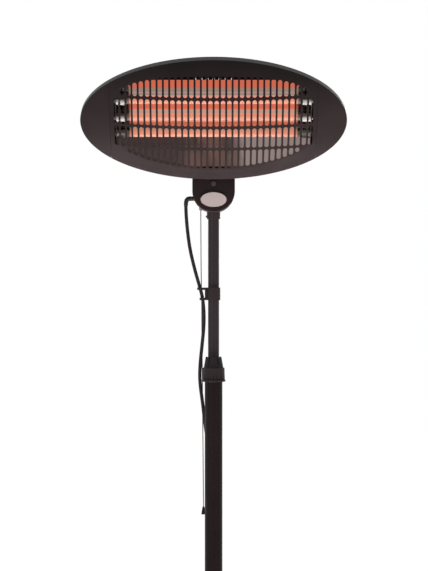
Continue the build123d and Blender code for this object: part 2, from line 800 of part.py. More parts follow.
def end_screw_rods(radius, top, depth):
    """A rod at each lower rim screw, from top outside the rim to depth inside it."""
    with BuildPart() as rods:
        for x, y in zip(end_screw_places, end_screw_y):
            with BuildSketch(end_screw_plane(x, y).offset(top)):
                Circle(radius)
            extrude(amount=-top - depth)
    return rods.part


with BuildPart() as front_panel:
    add(face_shell.part)
    add(end_screw_rods(end_screw_radius + bolt_gap, skin, 2 * skin), mode=Mode.SUBTRACT)
    for side in (-1, 1):
        split(bisect_by=Plane(origin=(side * (seam_x - seam_gap / 2), 0, 0), z_dir=(-side, 0, 0)))
    with BuildSketch(head_plane):
        for column in range(slot_columns):
            for centre, length in slots_of(column):
                with Locations(centre):
                    SlotOverall(length, slot_width, rotation=90)
    extrude(amount=face_rise, mode=Mode.SUBTRACT)

with BuildPart() as right_end_cap:
    add(face_shell.part)
    split(bisect_by=Plane.YZ.offset(seam_x + seam_gap / 2))

with BuildPart() as left_end_cap:
    mirror(right_end_cap.part, about=Plane.YZ)

lip_inset = skin + fit_gap

with BuildPart() as rear_shell:
    add(oval_back(0))
    add(oval_back(back_skin), mode=Mode.SUBTRACT)
    with BuildSketch(head_plane.offset(-rim_depth)):
        Ellipse(head_half_width - lip_inset, head_half_height - lip_inset)
        Ellipse(head_half_width - lip_inset - skin, head_half_height - lip_inset - skin,
                mode=Mode.SUBTRACT)
    extrude(amount=lip_length)
    for x, y in zip(end_screw_places, end_screw_y):
        with BuildPart(end_screw_plane(x, y), mode=Mode.PRIVATE) as screw_notch:
            Box(2 * (end_screw_radius + fit_gap), 2 * (end_screw_radius + fit_gap), 5 * skin)
        add(screw_notch.part, mode=Mode.SUBTRACT)
    with BuildSketch(head_plane.offset(back_face)):
        with Locations((0, head_half_height - vent_drop)):
            with GridLocations(vent_pitch, 1, vent_count, 1):
                SlotOverall(vent_length, vent_width, rotation=90)
    extrude(amount=back_flat, mode=Mode.SUBTRACT)
    with BuildSketch(head_plane.offset(back_face)):
        with Locations(*bracket_screw_points):
            Circle(bracket_screw_radius + fit_gap)
    extrude(amount=back_skin, mode=Mode.SUBTRACT)

with BuildPart() as shell_screws:
    add(end_screw_rods(end_screw_head_radius, end_screw_head_height + fit_gap, -fit_gap))
    add(end_screw_rods(end_screw_radius, fit_gap, end_screw_length))

# ---------------------------------------------------------------- heating parts
tube_heights = {
    "upper": tube_centre + tube_pitch, "middle": tube_centre, "lower": tube_centre - tube_pitch
}
ridge_heights = [tube_centre + tube_pitch * step for step in (1.5, 0.5, -0.5, -1.5)]


def reflector_edge(shift):
    """Draws the reflector's section, moved back by shift, in the sketch's line being built."""
    ridge = -reflector_ridge - shift
    Line((reflector_top, reflector_lip - shift), (ridge_heights[0], ridge))
    for high, low in zip(ridge_heights, ridge_heights[1:]):
        ThreePointArc((high, ridge), ((high + low) / 2, ridge - reflector_trough), (low, ridge))
    Line((ridge_heights[-1], ridge), (reflector_bottom, reflector_lip - shift))


with BuildPart() as reflector:
    with BuildSketch(side_plane(-reflector_half_length)):
        with BuildLine():
            reflector_edge(0)
            Line((reflector_bottom, reflector_lip), (reflector_bottom, reflector_lip - reflector_sheet))
            reflector_edge(reflector_sheet)
            Line((reflector_top, reflector_lip), (reflector_top, reflector_lip - reflector_sheet))
        make_face()
    extrude(amount=2 * reflector_half_length)
    with BuildPart(mode=Mode.PRIVATE) as head_room:
        add(oval_front(reflector_inset))
        add(oval_back(reflector_inset))
    add(head_room.part, mode=Mode.INTERSECT)

tube_brackets = {}
for side_name, side in (("left", -1), ("right", 1)):
    inner_x = side * (reflector_half_length + fit_gap)
    with BuildPart() as tube_bracket:
        with BuildSketch(side_plane(inner_x)):
            with BuildLine():
                Polyline((bracket_plate_bottom, back_face), (bracket_plate_bottom, bracket_plate_front),
                         (bracket_plate_top, bracket_plate_front), (bracket_plate_top, back_face),
                         close=True)
            make_face()
            with Locations(*[(height, -tube_setback) for height in tube_heights.values()]):
                Circle(ceramic_nose_radius + bolt_gap, mode=Mode.SUBTRACT)
        extrude(amount=side * bracket_plate_sheet)
        with BuildPart(mode=Mode.PRIVATE) as bracket_room:
            add(oval_front(2 * skin + turn_gap))
            add(oval_back(back_skin + turn_gap))
        add(bracket_room.part, mode=Mode.INTERSECT)
    tube_brackets[side_name] = tube_bracket

quartz_tubes = {}
heating_coils = {}
for tube_name, height in tube_heights.items():
    with BuildPart() as quartz_tube:
        with BuildSketch(side_plane(-quartz_half_length)):
            with Locations((height, -tube_setback)):
                Circle(quartz_radius)
                Circle(quartz_radius - quartz_wall, mode=Mode.SUBTRACT)
        extrude(amount=2 * quartz_half_length)
    quartz_tubes[tube_name] = quartz_tube
    with BuildPart() as heating_coil:
        with BuildSketch(side_plane(-element_half_length)):
            with Locations((height, -tube_setback)):
                Circle(element_radius)
        extrude(amount=2 * element_half_length)
    heating_coils[tube_name] = heating_coil

with BuildPart() as ceramic_caps:
    for side in (-1, 1):
        for height in tube_heights.values():
            with BuildSketch(side_plane(side * reflector_half_length)):
                with Locations((height, -tube_setback)):
                    Circle(ceramic_radius)
            extrude(amount=-side * ceramic_length)
            with BuildSketch(side_plane(side * (reflector_half_length - ceramic_length))):
                with Locations((height, -tube_setback)):
                    Circle(quartz_radius + fit_gap)
            extrude(amount=side * ceramic_cup, mode=Mode.SUBTRACT)
            with BuildSketch(side_plane(side * reflector_half_length)):
                with Locations((height, -tube_setback)):
                    Circle(ceramic_nose_radius)
            extrude(amount=side * ceramic_nose_length)

# ---------------------------------------------------------------- pull cord
pull_cord_start = Vector(pull_cord_x, pull_cord_y, lever_axis_z - lever_tip_radius - turn_gap)
pull_cord_end = Vector(pull_cord_end_x, pull_cord_end_y, box_arc_height - pull_cord_drop)
pull_cord_run = pull_cord_end - pull_cord_start

with BuildPart() as pull_string:
    with BuildSketch(Plane(origin=pull_cord_start, z_dir=pull_cord_run)):
        Circle(pull_cord_radius)
    extrude(amount=pull_cord_run.length)

with BuildPart() as pull_knob:
    knob_top_plane = Plane(origin=pull_cord_end, z_dir=pull_cord_run)
    with BuildSketch(knob_top_plane):
        Circle(pull_knob_top_radius)
    with BuildSketch(knob_top_plane.offset(pull_knob_length)):
        Circle(pull_knob_bottom_radius)
    loft()

# ---------------------------------------------------------------- power cable
# The route's points are chosen by hand: out of the gland, through the mast clip, round the collar,
# down behind the lower mast, over the base and to the coil on the floor.
coil_x, coil_y = coil_centre
gland_side = [              # heights from the gland
    (-50.4, 0, 0), (-53.9, 0, -3.7), (-54.9, 0, -10.5), (-54.8, 0, -24), (-53.4, 0, -46),
    (-50.8, 0, -72), (-46.8, 0, -100), (-41.4, -0.3, -124), (-36.0, -0.7, -145),
    (-30.6, -0.8, -164), (-25.6, -0.6, -180.5), (-21.2, 0.2, -200),
]
between = [                 # heights as shares of the way up from the next stretch to the last one
    (-18.9, 1.2, 0.75), (-19.2, 2.4, 0.5), (-21.6, 4.0, 0.25),
]
collar_side = [             # heights from the collar
    (-24.4, 6.4, 58), (-26.9, 8.8, 32), (-27.7, 10.2, 8), (-26.2, 10.4, -12), (-23.2, 10.0, -33),
    (-20.6, 11.0, -54), (-18.4, 14.0, -76), (-15.2, 17.8, -99), (-11.2, 21.0, -126),
    (-7.4, 23.6, -160),
]
mast_side = [               # heights as shares of the lower mast's height
    (-4.6, 25.0, 0.83), (-3.0, 25.6, 0.78), (-2.0, 25.6, 0.73), (-1.4, 25.2, 0.67),
    (-1.2, 24.9, 0.61), (-0.6, 24.8, 0.54), (0.2, 24.7, 0.46), (0.9, 24.9, 0.39),
    (1.1, 25.0, 0.32), (0.8, 24.7, 0.25), (0.6, 24.6, 0.185), (0.6, 24.8, 0.138),
]
floor_side = [
    (0.7, 26.2, 132), (1.2, 30.4, 104), (1.6, 39.4, 83), (0.8, 55.6, 70), (-2.6, 82.0, 63.8),
    (-7.4, 120.0, 57.5), (-12.6, 160.0, 49.5), (-17.8, 198.0, 39.5), (-22.6, 230.0, 29.0),
    (-26.6, 250.5, 21.5), (-29.4, 263.0, 13.6), (-31.2, 273.0, 6.6),
    (-32.0, 286.0, cable_radius), (-32.0, coil_y, cable_radius),
]
between_low = collar_height + collar_side[0][2]
between_length = gland_height + gland_side[-1][2] - between_low
route = [
    Vector(-box_width / 2 - gland_reach, 0, gland_height),
    *[Vector(x, y, gland_height + rise) for x, y, rise in gland_side],
    *[Vector(x, y, between_low + share * between_length) for x, y, share in between],
    *[Vector(x, y, collar_height + rise) for x, y, rise in collar_side],
    *[Vector(x, y, share * collar_height) for x, y, share in mast_side],
    *[Vector(*point) for point in floor_side],
]
crossing_start = len(gland_side) + 1    # the run after the mast clip
crossing_end = 30           # the run that ends in the upper clip of the lower mast


def corner_radius(points, i):
    """Radius at point i: as large as its two runs allow."""
    before = points[i] - points[i - 1]
    after = points[i + 1] - points[i]
    half_turn = math.radians(before.get_angle(after)) / 2
    return 0.45 * min(before.length, after.length) / math.tan(half_turn)


route_radii = [corner_radius(route, i) for i in range(1, len(route) - 1)]


def route_stretch(first_run, last_run):
    """Points and radii of the route from the middle of one run to the middle of another.
    None in place of a run means the route's own end."""
    start = 1 if first_run is None else first_run
    end = len(route) - 2 if last_run is None else last_run - 1
    first = route[0] if first_run is None else (route[first_run - 1] + route[first_run]) / 2
    last = route[-1] if last_run is None else (route[last_run - 1] + route[last_run]) / 2
    return [first, *route[start:end + 1], last], route_radii[start - 1:end]


def cable_along(points, radii):
    """Round cable along straight runs joined by tangent arcs, with its length."""
    with BuildPart() as cable:
        with BuildLine() as path:
            FilletPolyline(*points, radius=radii)
        with BuildSketch(Plane(origin=points[0], z_dir=points[1] - points[0])):
            Circle(cable_radius)
        sweep(path=path.line)
    return cable, path.wire().length


power_cable_upper, upper_length = cable_along(*route_stretch(None, crossing_start))
power_cable_crossing, crossing_length = cable_along(*route_stretch(crossing_start, crossing_end))
power_cable_lower, lower_length = cable_along(*route_stretch(crossing_end, None))

# ---------------------------------------------------------------- cable clips
cable_hook_bore = cable_radius + cable_hook_gap
cable_hook_radius = cable_hook_bore + clip_hook_wall


def route_at(height):
    """Where the cable's route passes a height on its way down the mast."""
    for above, below in zip(route, route[1:]):
        if above.Z >= height > below.Z:
            share = (above.Z - height) / (above.Z - below.Z)
            return above + (below - above) * share
    raise ValueError(f"the cable does not pass {height}")


def clip_hook(tube_radius, bottom, height):
    """Arm from a mast tube to an eye round the cable."""
    cable_at = route_at(bottom + height / 2)
    ring_radius = tube_radius + clip_wall / 2
    reach = math.hypot(cable_at.X, cable_at.Y)
    middle = (ring_radius + reach) / 2 / reach
    with BuildPart() as hook:
        with BuildSketch(Plane.XY.offset(bottom)):
            with Locations((cable_at.X * middle, cable_at.Y * middle)):
                Rectangle(reach - ring_radius, clip_arm_thickness,
                          rotation=math.degrees(math.atan2(cable_at.Y, cable_at.X)))
            with Locations((cable_at.X, cable_at.Y)):
                Circle(cable_hook_radius)
                Circle(cable_hook_bore, mode=Mode.SUBTRACT)
        extrude(amount=height)
    return hook.part


mast_clip_height = gland_height - mast_clip_drop
mast_clip_top = mast_clip_height + clip_height

with BuildPart() as mast_cable_clip:
    add(tube_between(upper_tube_radius + clip_wall, upper_tube_radius + fit_gap,
                     mast_clip_height, mast_clip_top))
    with BuildSketch(Plane.XY.offset(mast_clip_height + clip_arm_height)):
        with Locations((-upper_tube_radius - clip_wall / 2, 0)):
            Rectangle(clip_web + clip_wall / 2, clip_arm_thickness, align=(Align.MAX, Align.CENTER))
    extrude(amount=clip_height - 2 * clip_arm_height)
    for arm_height in (mast_clip_height, mast_clip_top - clip_arm_height):
        add(clip_hook(upper_tube_radius, arm_height, clip_arm_height))

with BuildPart() as lower_cable_clips:
    for share in lower_clip_shares:
        height = share * collar_height
        add(tube_between(lower_tube_radius + clip_wall, lower_tube_radius + fit_gap,
                         height, height + lower_clip_length))
        add(clip_hook(lower_tube_radius, height, lower_clip_length))

# The coil: two layers of half turns, spiralling in below and out above, with a climb between them.
half_pitch = coil_pitch / 2
coil_top = cable_radius + coil_pitch
inner_turn = coil_outer_radius - coil_half_turns * half_pitch

with BuildLine() as coil_path:
    x = coil_x - coil_outer_radius
    heading = 1
    for step in range(coil_half_turns):
        radius = coil_outer_radius - step * half_pitch
        RadiusArc((x, coil_y, cable_radius), (x + heading * 2 * radius, coil_y, cable_radius),
                  radius)
        x += heading * 2 * radius
        heading = -heading
    climb_middle = (x + heading * inner_turn, coil_y + heading * math.hypot(inner_turn, coil_pitch / 2),
                    cable_radius + coil_pitch / 2)
    climb_end = (x + heading * 2 * inner_turn, coil_y, coil_top)
    first_climb = TangentArc((x, coil_y, cable_radius), climb_middle, tangent=(0, heading, 0))
    TangentArc(climb_middle, climb_end, tangent=first_climb % 1)
    x += heading * 2 * inner_turn
    heading = -heading
    for step in range(1, coil_half_turns + 1):
        radius = inner_turn + step * half_pitch
        RadiusArc((x, coil_y, coil_top), (x + heading * 2 * radius, coil_y, coil_top), radius)
        x += heading * 2 * radius
        heading = -heading
    coil_end_x = x

# From the coil's last turn the cable runs on to the plug beside it.
plug_back = (coil_end_x + 46, coil_y - 38, plug_radius)
tail_route = [
    Vector(coil_end_x, coil_y, coil_top),
    Vector(coil_end_x, coil_y - 12, coil_top),
    Vector(coil_end_x + 2.8, coil_y - 23, coil_top + 0.4),
    Vector(coil_end_x + 9.8, coil_y - 32, coil_top + 1.8),
    Vector(coil_end_x + 20, coil_y - 37, coil_top + 4.6),
    Vector(coil_end_x + 31, coil_y - 38, plug_radius),
    Vector(*plug_back),
]
tail_radii = [corner_radius(tail_route, i) for i in range(1, len(tail_route) - 1)]

with BuildPart() as power_cable_coil:
    with BuildSketch(Plane(origin=coil_path.line @ 0, x_dir=(0, 0, 1), z_dir=(0, 1, 0))):
        RegularPolygon(cable_radius, coil_sides, major_radius=False, rotation=180 / coil_sides)
    sweep(path=coil_path.line)

power_cable_tail, tail_length = cable_along(tail_route, tail_radii)

with BuildPart() as power_plug:
    neck_plane = Plane(origin=plug_back, x_dir=(0, 1, 0), z_dir=(1, 0, 0))
    with BuildSketch(neck_plane):
        Circle(plug_neck_radius)
    with BuildSketch(neck_plane.offset(plug_neck_length)):
        Circle(plug_radius - plug_neck_radius / 2)
    loft()
    with BuildSketch(neck_plane.offset(plug_neck_length)):
        Circle(plug_radius)
    extrude(amount=plug_length)
    chamfer(power_plug.edges().filter_by(GeomType.CIRCLE).group_by(Axis.X)[1].sort_by(
        SortBy.LENGTH)[-1], plug_neck_radius / 3)
    with BuildSketch(neck_plane.offset(plug_neck_length + plug_length)):
        with GridLocations(plug_pin_spacing, 1, 2, 1):
            Circle(plug_pin_radius + fit_gap)
    extrude(amount=-plug_length / 2, mode=Mode.SUBTRACT)

with BuildPart() as plug_pins:
    with BuildSketch(neck_plane.offset(plug_neck_length + plug_length / 2)):
        with GridLocations(plug_pin_spacing, 1, 2, 1):
            Circle(plug_pin_radius)
    extrude(amount=plug_length / 2 + plug_pin_length)

# ---------------------------------------------------------------- what the cable came out as
print("corner radii", [round(radius, 1) for radius in route_radii + tail_radii])
section = math.pi * cable_radius**2
for stretch, length in ((power_cable_upper, upper_length), (power_cable_crossing, crossing_length),
                        (power_cable_lower, lower_length), (power_cable_tail, tail_length)):
    print("volume over section times length", round(stretch.part.volume / (section * length), 4))
coil_length = coil_path.wire().length
coil_section = coil_sides * cable_radius**2 * math.tan(math.pi / coil_sides)
coil_volume = power_cable_coil.part.volume
print("coil volume over section times length", round(coil_volume / (coil_section * coil_length), 4))
samples = [coil_path.line @ (i / 600) for i in range(601)]
apart = 3 * cable_radius / (coil_length / 600)
gaps = [(samples[i] - samples[j]).length - 2 * cable_radius
        for i in range(601) for j in range(i) if i - j > apart]
print("coil least gap to itself", round(min(gaps), 2))
print("cable length", round(upper_length + crossing_length + lower_length + coil_length + tail_length))

# ---------------------------------------------------------------- named pieces
pieces = {
    "rubber_feet": rubber_feet, "base_pan": base_pan, "base_weight": base_weight,
    "mast_foot": mast_foot, "foot_bolts": foot_bolts, "base_cover": base_cover,
    "foot_mast_tube": foot_mast_tube, "lower_mast_tube": lower_mast_tube,
    "mast_coupler": mast_coupler, "coupler_screws": coupler_screws,
    "collar_socket": collar_socket, "lock_collet": lock_collet, "lock_ring": lock_ring,
    "upper_mast_tube": upper_mast_tube, "guide_bush": guide_bush,
    "neck_sleeve": neck_sleeve, "neck_screw": neck_screw,
    "box_rear_shell": box_rear_shell, "box_front_cover": box_front_cover,
    "cover_screw": cover_screw, "badge_plate": badge_plate, "cable_gland": cable_gland,
    "cord_eyelet": cord_eyelet, "pull_switch": pull_switch, "switch_lever": switch_lever,
    "terminal_block": terminal_block, "tip_switch": tip_switch,
    "tilt_block": tilt_block, "tilt_block_screws": tilt_block_screws, "pivot_bolt": pivot_bolt,
    "tilt_knob": tilt_knob, "head_bracket": head_bracket, "bracket_screws": bracket_screws,
    "front_panel": front_panel, "left_end_cap": left_end_cap, "right_end_cap": right_end_cap,
    "rear_shell": rear_shell, "shell_screws": shell_screws,
    "reflector": reflector, "ceramic_caps": ceramic_caps,
    "left_tube_bracket": tube_brackets["left"], "right_tube_bracket": tube_brackets["right"],
    "mast_cable_clip": mast_cable_clip, "lower_cable_clips": lower_cable_clips,
    "pull_string": pull_string, "pull_knob": pull_knob,
    "power_cable_upper": power_cable_upper, "power_cable_crossing": power_cable_crossing,
    "power_cable_lower": power_cable_lower, "power_cable_coil": power_cable_coil,
    "power_cable_tail": power_cable_tail, "power_plug": power_plug, "plug_pins": plug_pins,
}
for tube_name in tube_heights:
    pieces[f"quartz_tube_{tube_name}"] = quartz_tubes[tube_name]
    pieces[f"heating_coil_{tube_name}"] = heating_coils[tube_name]

os.makedirs("parts", exist_ok=True)
for name, piece in pieces.items():
    piece.part.label = name
    export_step(piece.part, f"parts/{name}.step")
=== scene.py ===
"""Looks for a free-standing infrared patio heater: an oval tilting head with three glowing quartz
tubes, a switch box, a telescoping mast with its collar, a weighted round base, the power cable and
the pull cord. All sizes are in metres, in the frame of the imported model."""

import logging
import math
from dataclasses import dataclass
from enum import Enum

import bmesh
import bpy
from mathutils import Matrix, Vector


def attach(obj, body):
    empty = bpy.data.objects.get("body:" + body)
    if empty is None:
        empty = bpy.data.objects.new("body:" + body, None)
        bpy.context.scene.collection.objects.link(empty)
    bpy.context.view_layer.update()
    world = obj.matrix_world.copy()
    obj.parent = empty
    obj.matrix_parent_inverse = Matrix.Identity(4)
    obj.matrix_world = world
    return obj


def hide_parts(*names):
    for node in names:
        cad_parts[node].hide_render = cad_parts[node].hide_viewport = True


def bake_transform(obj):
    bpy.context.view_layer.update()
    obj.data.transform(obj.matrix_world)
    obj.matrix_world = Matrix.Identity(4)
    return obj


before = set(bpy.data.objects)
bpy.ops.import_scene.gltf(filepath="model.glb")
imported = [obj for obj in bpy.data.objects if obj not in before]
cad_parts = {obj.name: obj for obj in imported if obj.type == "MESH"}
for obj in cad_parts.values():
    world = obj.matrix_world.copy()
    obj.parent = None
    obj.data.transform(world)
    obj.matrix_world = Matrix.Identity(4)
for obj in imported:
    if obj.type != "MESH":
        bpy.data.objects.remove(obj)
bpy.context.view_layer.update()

log = logging.getLogger("heater")

Color = tuple[float, float, float]
Point = tuple[float, float, float]
Span = tuple[float, float]

FULL_TURN = 2 * math.pi
BLACK: Color = (0.0, 0.0, 0.0)
WHITE: Color = (1.0, 1.0, 1.0)
HEAD_TILT = math.radians(28)
HEAD_CENTRE: Point = (0.0, -0.105, 1.7545)
TUBE_HEIGHTS: dict[str, float] = {"upper": 0.0379, "middle": 0.0041, "lower": -0.0297}
TUBE_SETBACK = 0.008
LIT_HALF_LENGTH = 0.160
ROUTE_STEPS = 7


def srgb(red: float, green: float, blue: float) -> Color:
    """Linear colour of an 8-bit screen colour.

    Args:
        red: 0 to 255.
        green: 0 to 255.
        blue: 0 to 255.

    Returns:
        The colour as linear values from 0 to 1.
    """
    def linear(value: float) -> float:
        """One channel made linear."""
        share = value / 255
        return share / 12.92 if share <= 0.04045 else ((share + 0.055) / 1.055) ** 2.4

    return linear(red), linear(green), linear(blue)


def head_point(x: float, up: float, out: float) -> Vector:
    """A point given in the head's own directions.

    Args:
        x: To the right of the head's middle.
        up: Up the face from the middle.
        out: Out of the face from the rim's plane.

    Returns:
        The point in the model's frame.
    """
    sine, cosine = math.sin(HEAD_TILT), math.cos(HEAD_TILT)
    _, y, z = HEAD_CENTRE
    return Vector((x, y - sine * up - cosine * out, z + cosine * up - sine * out))


# ------------------------------------------------------------------ shader maths
class Term:
    """A number in a node graph: Python's operators on it add Math nodes."""

    def __init__(self, graph: "Graph", socket: bpy.types.NodeSocket) -> None:
        """Wraps one output socket of a graph."""
        self.graph = graph
        self.socket = socket

    def _math(self, operation: str, first: "Term | float", second: "Term | float") -> "Term":
        """One Math node's result."""
        node = self.graph.node("ShaderNodeMath", {"operation": operation}, {0: first, 1: second})
        return Term(self.graph, node.outputs[0])

    def __add__(self, other: "Term | float") -> "Term":
        """Sum."""
        return self._math("ADD", self, other)

    def __radd__(self, other: float) -> "Term":
        """Sum with a plain number first."""
        return self._math("ADD", other, self)

    def __sub__(self, other: "Term | float") -> "Term":
        """Difference."""
        return self._math("SUBTRACT", self, other)

    def __rsub__(self, other: float) -> "Term":
        """Difference with a plain number first."""
        return self._math("SUBTRACT", other, self)

    def __mul__(self, other: "Term | float") -> "Term":
        """Product."""
        return self._math("MULTIPLY", self, other)

    def __rmul__(self, other: float) -> "Term":
        """Product with a plain number first."""
        return self._math("MULTIPLY", other, self)

    def __truediv__(self, other: "Term | float") -> "Term":
        """Quotient."""
        return self._math("DIVIDE", self, other)

    def __rtruediv__(self, other: float) -> "Term":
        """Quotient with a plain number first."""
        return self._math("DIVIDE", other, self)

    def larger(self, other: "Term | float") -> "Term":
        """The larger of the two."""
        return self._math("MAXIMUM", self, other)

    def size(self) -> "Term":
        """Value without its sign."""
        return self._math("ABSOLUTE", self, 0.0)

    def wave(self) -> "Term":
        """Sine of the value."""
        return self._math("SINE", self, 0.0)

    def ease(self, low: float, high: float) -> "Term":
        """Smooth step.

        Args:
            low: Value at which the result leaves 0.
            high: Value at which the result reaches 1. It may be the lower of the two.

        Returns:
            A mask from 0 to 1.
        """
        node = self.graph.node(
            "ShaderNodeMapRange", {"interpolation_type": "SMOOTHSTEP"},
            {"Value": self, "From Min": low, "From Max": high},
        )
        return Term(self.graph, node.outputs[0])


@dataclass(frozen=True)
class Relief:
    """A grain's relief: features in a metre, octaves, depth and stretch."""

    scale: float
    detail: float
    depth: float
    stretch: Point = (1.0, 1.0, 1.0)


class Graph:
    """A node tree under construction, empty at first."""

    def __init__(self, tree: bpy.types.NodeTree) -> None:
        """Empties the tree."""
        self.tree = tree
        self.tree.nodes.clear()

    def node(self, kind: str, settings: dict[str, object] | None = None,
             inputs: dict[str | int, object] | None = None) -> bpy.types.Node:
        """Adds a node.

        Args:
            kind: The node's type name.
            settings: Its properties, set before its inputs. A ramp takes "stops".
            inputs: Values, terms or sockets by input name or number.

        Returns:
            The new node.
        """
        node = self.tree.nodes.new(kind)
        for key, value in (settings or {}).items():
            if key == "stops":
                self._set_stops(node.color_ramp, value)
            else:
                setattr(node, key, value)
        for key, value in (inputs or {}).items():
            self.plug(node.inputs[key], value)
        return node

    @staticmethod
    def _set_stops(ramp: bpy.types.ColorRamp, stops: list[tuple[float, Color]]) -> None:
        """Gives a colour ramp bands of plain colour.

        Args:
            ramp: The ramp.
            stops: Where each band starts, from 0 to 1, and its colour.
        """
        ramp.interpolation = "CONSTANT"
        while len(ramp.elements) < len(stops):
            ramp.elements.new(1.0)
        for element, (place, color) in zip(ramp.elements, stops):
            element.position = place
            element.color = (*color, 1.0)

    def plug(self, target: bpy.types.NodeSocket, value: object) -> None:
        """Links a term or socket to an input, or sets a plain value on it.

        Args:
            target: The input.
            value: A term, a socket, a number, a colour or a vector.
        """
        if isinstance(value, Term):
            self.tree.links.new(value.socket, target)
        elif isinstance(value, bpy.types.NodeSocket):
            self.tree.links.new(value, target)
        elif target.type == "RGBA" and len(value) == 3:
            target.default_value = (*value, 1.0)
        else:
            target.default_value = value

    def looked_at(self) -> Term:
        """Tells what is looked at, straight or by reflection, from what only lights the rest.

        Returns:
            1 for a ray from the camera, off a gloss or through glass, and otherwise 0.
        """
        path = self.node("ShaderNodeLightPath").outputs
        camera, glossy, through = (
            Term(self, path[f"Is {kind} Ray"]) for kind in ("Camera", "Glossy", "Transmission")
        )
        return camera.larger(glossy.larger(through))


class Shader(Graph):
    """A material under construction, with one Principled shader."""

    def __init__(self, name: str) -> None:
        """Makes a material with only its Principled shader.

        Args:
            name: The material's name.
        """
        self.material = bpy.data.materials.new(name)
        self.material.use_nodes = True
        super().__init__(self.material.node_tree)
        self.surface = self.node("ShaderNodeBsdfPrincipled")
        self.node("ShaderNodeOutputMaterial", None, {"Surface": self.surface.outputs[0]})

    def set(self, **values: object) -> None:
        """Sets the Principled shader's inputs, with underscores for spaces."""
        for key, value in values.items():
            self.plug(self.surface.inputs[key.replace("_", " ")], value)

    def place(self) -> bpy.types.NodeSocket:
        """Object coordinates."""
        return self.node("ShaderNodeTexCoord").outputs["Object"]

    def axes(self, vector: bpy.types.NodeSocket | None = None) -> tuple[Term, Term, Term]:
        """Separate x, y and z of a vector, of the object coordinates by default."""
        node = self.node("ShaderNodeSeparateXYZ", None, {0: vector or self.place()})
        return Term(self, node.outputs[0]), Term(self, node.outputs[1]), Term(self, node.outputs[2])

    def on_face(self) -> tuple[Term, Term]:
        """Measures places on the head's face.

        Returns:
            The distance to the right of the head's middle, and the distance up its face.
        """
        x, y, z = self.axes()
        above, behind = z - HEAD_CENTRE[2], y - HEAD_CENTRE[1]
        return x, above * math.cos(HEAD_TILT) - behind * math.sin(HEAD_TILT)

    def noise(self, scale: float, detail: float = 3.0, stretch: Point = (1, 1, 1)) -> Term:
        """Noise over the surface.

        Args:
            scale: Features in a metre.
            detail: Octaves.
            stretch: Factors on the coordinates along each axis.

        Returns:
            Values from 0 to 1.
        """
        mapping = self.node("ShaderNodeMapping", None, {"Vector": self.place(), "Scale": stretch})
        inputs = {"Vector": mapping.outputs[0], "Scale": scale, "Detail": detail}
        return Term(self, self.node("ShaderNodeTexNoise", None, inputs).outputs[0])

    def grain(self, relief: Relief) -> Term:
        """A relief's heights from 0 to 1."""
        return self.noise(relief.scale, relief.detail, relief.stretch)

    def blend(self, share: Term, first: object, second: object) -> bpy.types.NodeSocket:
        """Mixes two colours."""
        node = self.node("ShaderNodeMix", {"data_type": "RGBA"}, {0: share, 6: first, 7: second})
        return node.outputs[2]

    def bump(self, height: Term, depth: float) -> bpy.types.NodeSocket:
        """Normal of a surface with a relief from 0 to 1 of that depth."""
        inputs = {"Height": height, "Distance": depth, "Strength": 1.0}
        return self.node("ShaderNodeBump", None, inputs).outputs[0]


# ------------------------------------------------------------------ finishes
class Grain(Enum):
    """What the close-up structure of a finish is."""

    POWDER = "powder coat"
    MOULDED = "moulded plastic"
    RUBBER = "rubber"
    CAST = "rough casting"
    BRUSHED = "brushed metal"
    TURNED = "plated metal"
    CERAMIC = "fired ceramic"


RELIEFS: dict[Grain, Relief] = {
    Grain.POWDER: Relief(900.0, 2.0, 0.00006),
    Grain.MOULDED: Relief(1400.0, 2.0, 0.00003),
    Grain.RUBBER: Relief(1400.0, 2.0, 0.00005),
    Grain.CAST: Relief(220.0, 5.0, 0.0006),
    Grain.BRUSHED: Relief(260.0, 2.0, 0.00001, (1.0, 40.0, 40.0)),
    Grain.TURNED: Relief(500.0, 2.0, 0.00001),
    Grain.CERAMIC: Relief(1400.0, 2.0, 0.00003),
}


@dataclass(frozen=True)
class Finish:
    """A finish of one colour with the grain and small unevenness of the real one."""

    name: str
    grain: Grain
    color: Color
    shade: Color
    roughness: float
    metallic: float = 0.0
    specular: float = 0.5
    patch_scale: float = 14.0
    patch_detail: float = 4.0
    patch_share: float = 0.6
    patch_roughness: float = 0.06
    grain_roughness: float = 0.05
    tone_span: Span = (0.3, 0.7)

    def material(self) -> bpy.types.Material:
        """Builds the finish's material.

        Returns:
            The material.
        """
        shader = Shader(self.name)
        relief = RELIEFS[self.grain]
        patches = shader.noise(self.patch_scale, self.patch_detail)
        fine = shader.grain(relief)
        tone = patches * self.patch_share + fine * (1 - self.patch_share)
        uneven = patches * self.patch_roughness + fine * self.grain_roughness - self.grain_roughness
        shader.set(
            Base_Color=shader.blend(tone.ease(*self.tone_span), self.shade, self.color),
            Roughness=uneven + self._main_roughness(shader),
            Metallic=self.metallic,
            Specular_IOR_Level=self.specular,
            Normal=shader.bump(fine, relief.depth),
        )
        return shader.material

    def _main_roughness(self, _shader: Shader) -> Term | float:
        """The roughness that the unevenness varies."""
        return self.roughness


@dataclass(frozen=True)
class PunchedCoat(Finish):
    """The front's coat, dulled by the heat in the oval field that the slots fill."""

    dulling: float = 0.5
    half_field: Span = (0.205, 0.097)
    field_edge: Span = (1.10, 0.90)

    def _main_roughness(self, shader: Shader) -> Term:
        """The coat's roughness, higher in the slots' field.

        Args:
            shader: The coat's material under construction.

        Returns:
            The roughness.
        """
        x, up = shader.on_face()
        across, along = x / self.half_field[0], up / self.half_field[1]
        field = (across * across + along * along).ease(*self.field_edge)
        return field * self.dulling + self.roughness


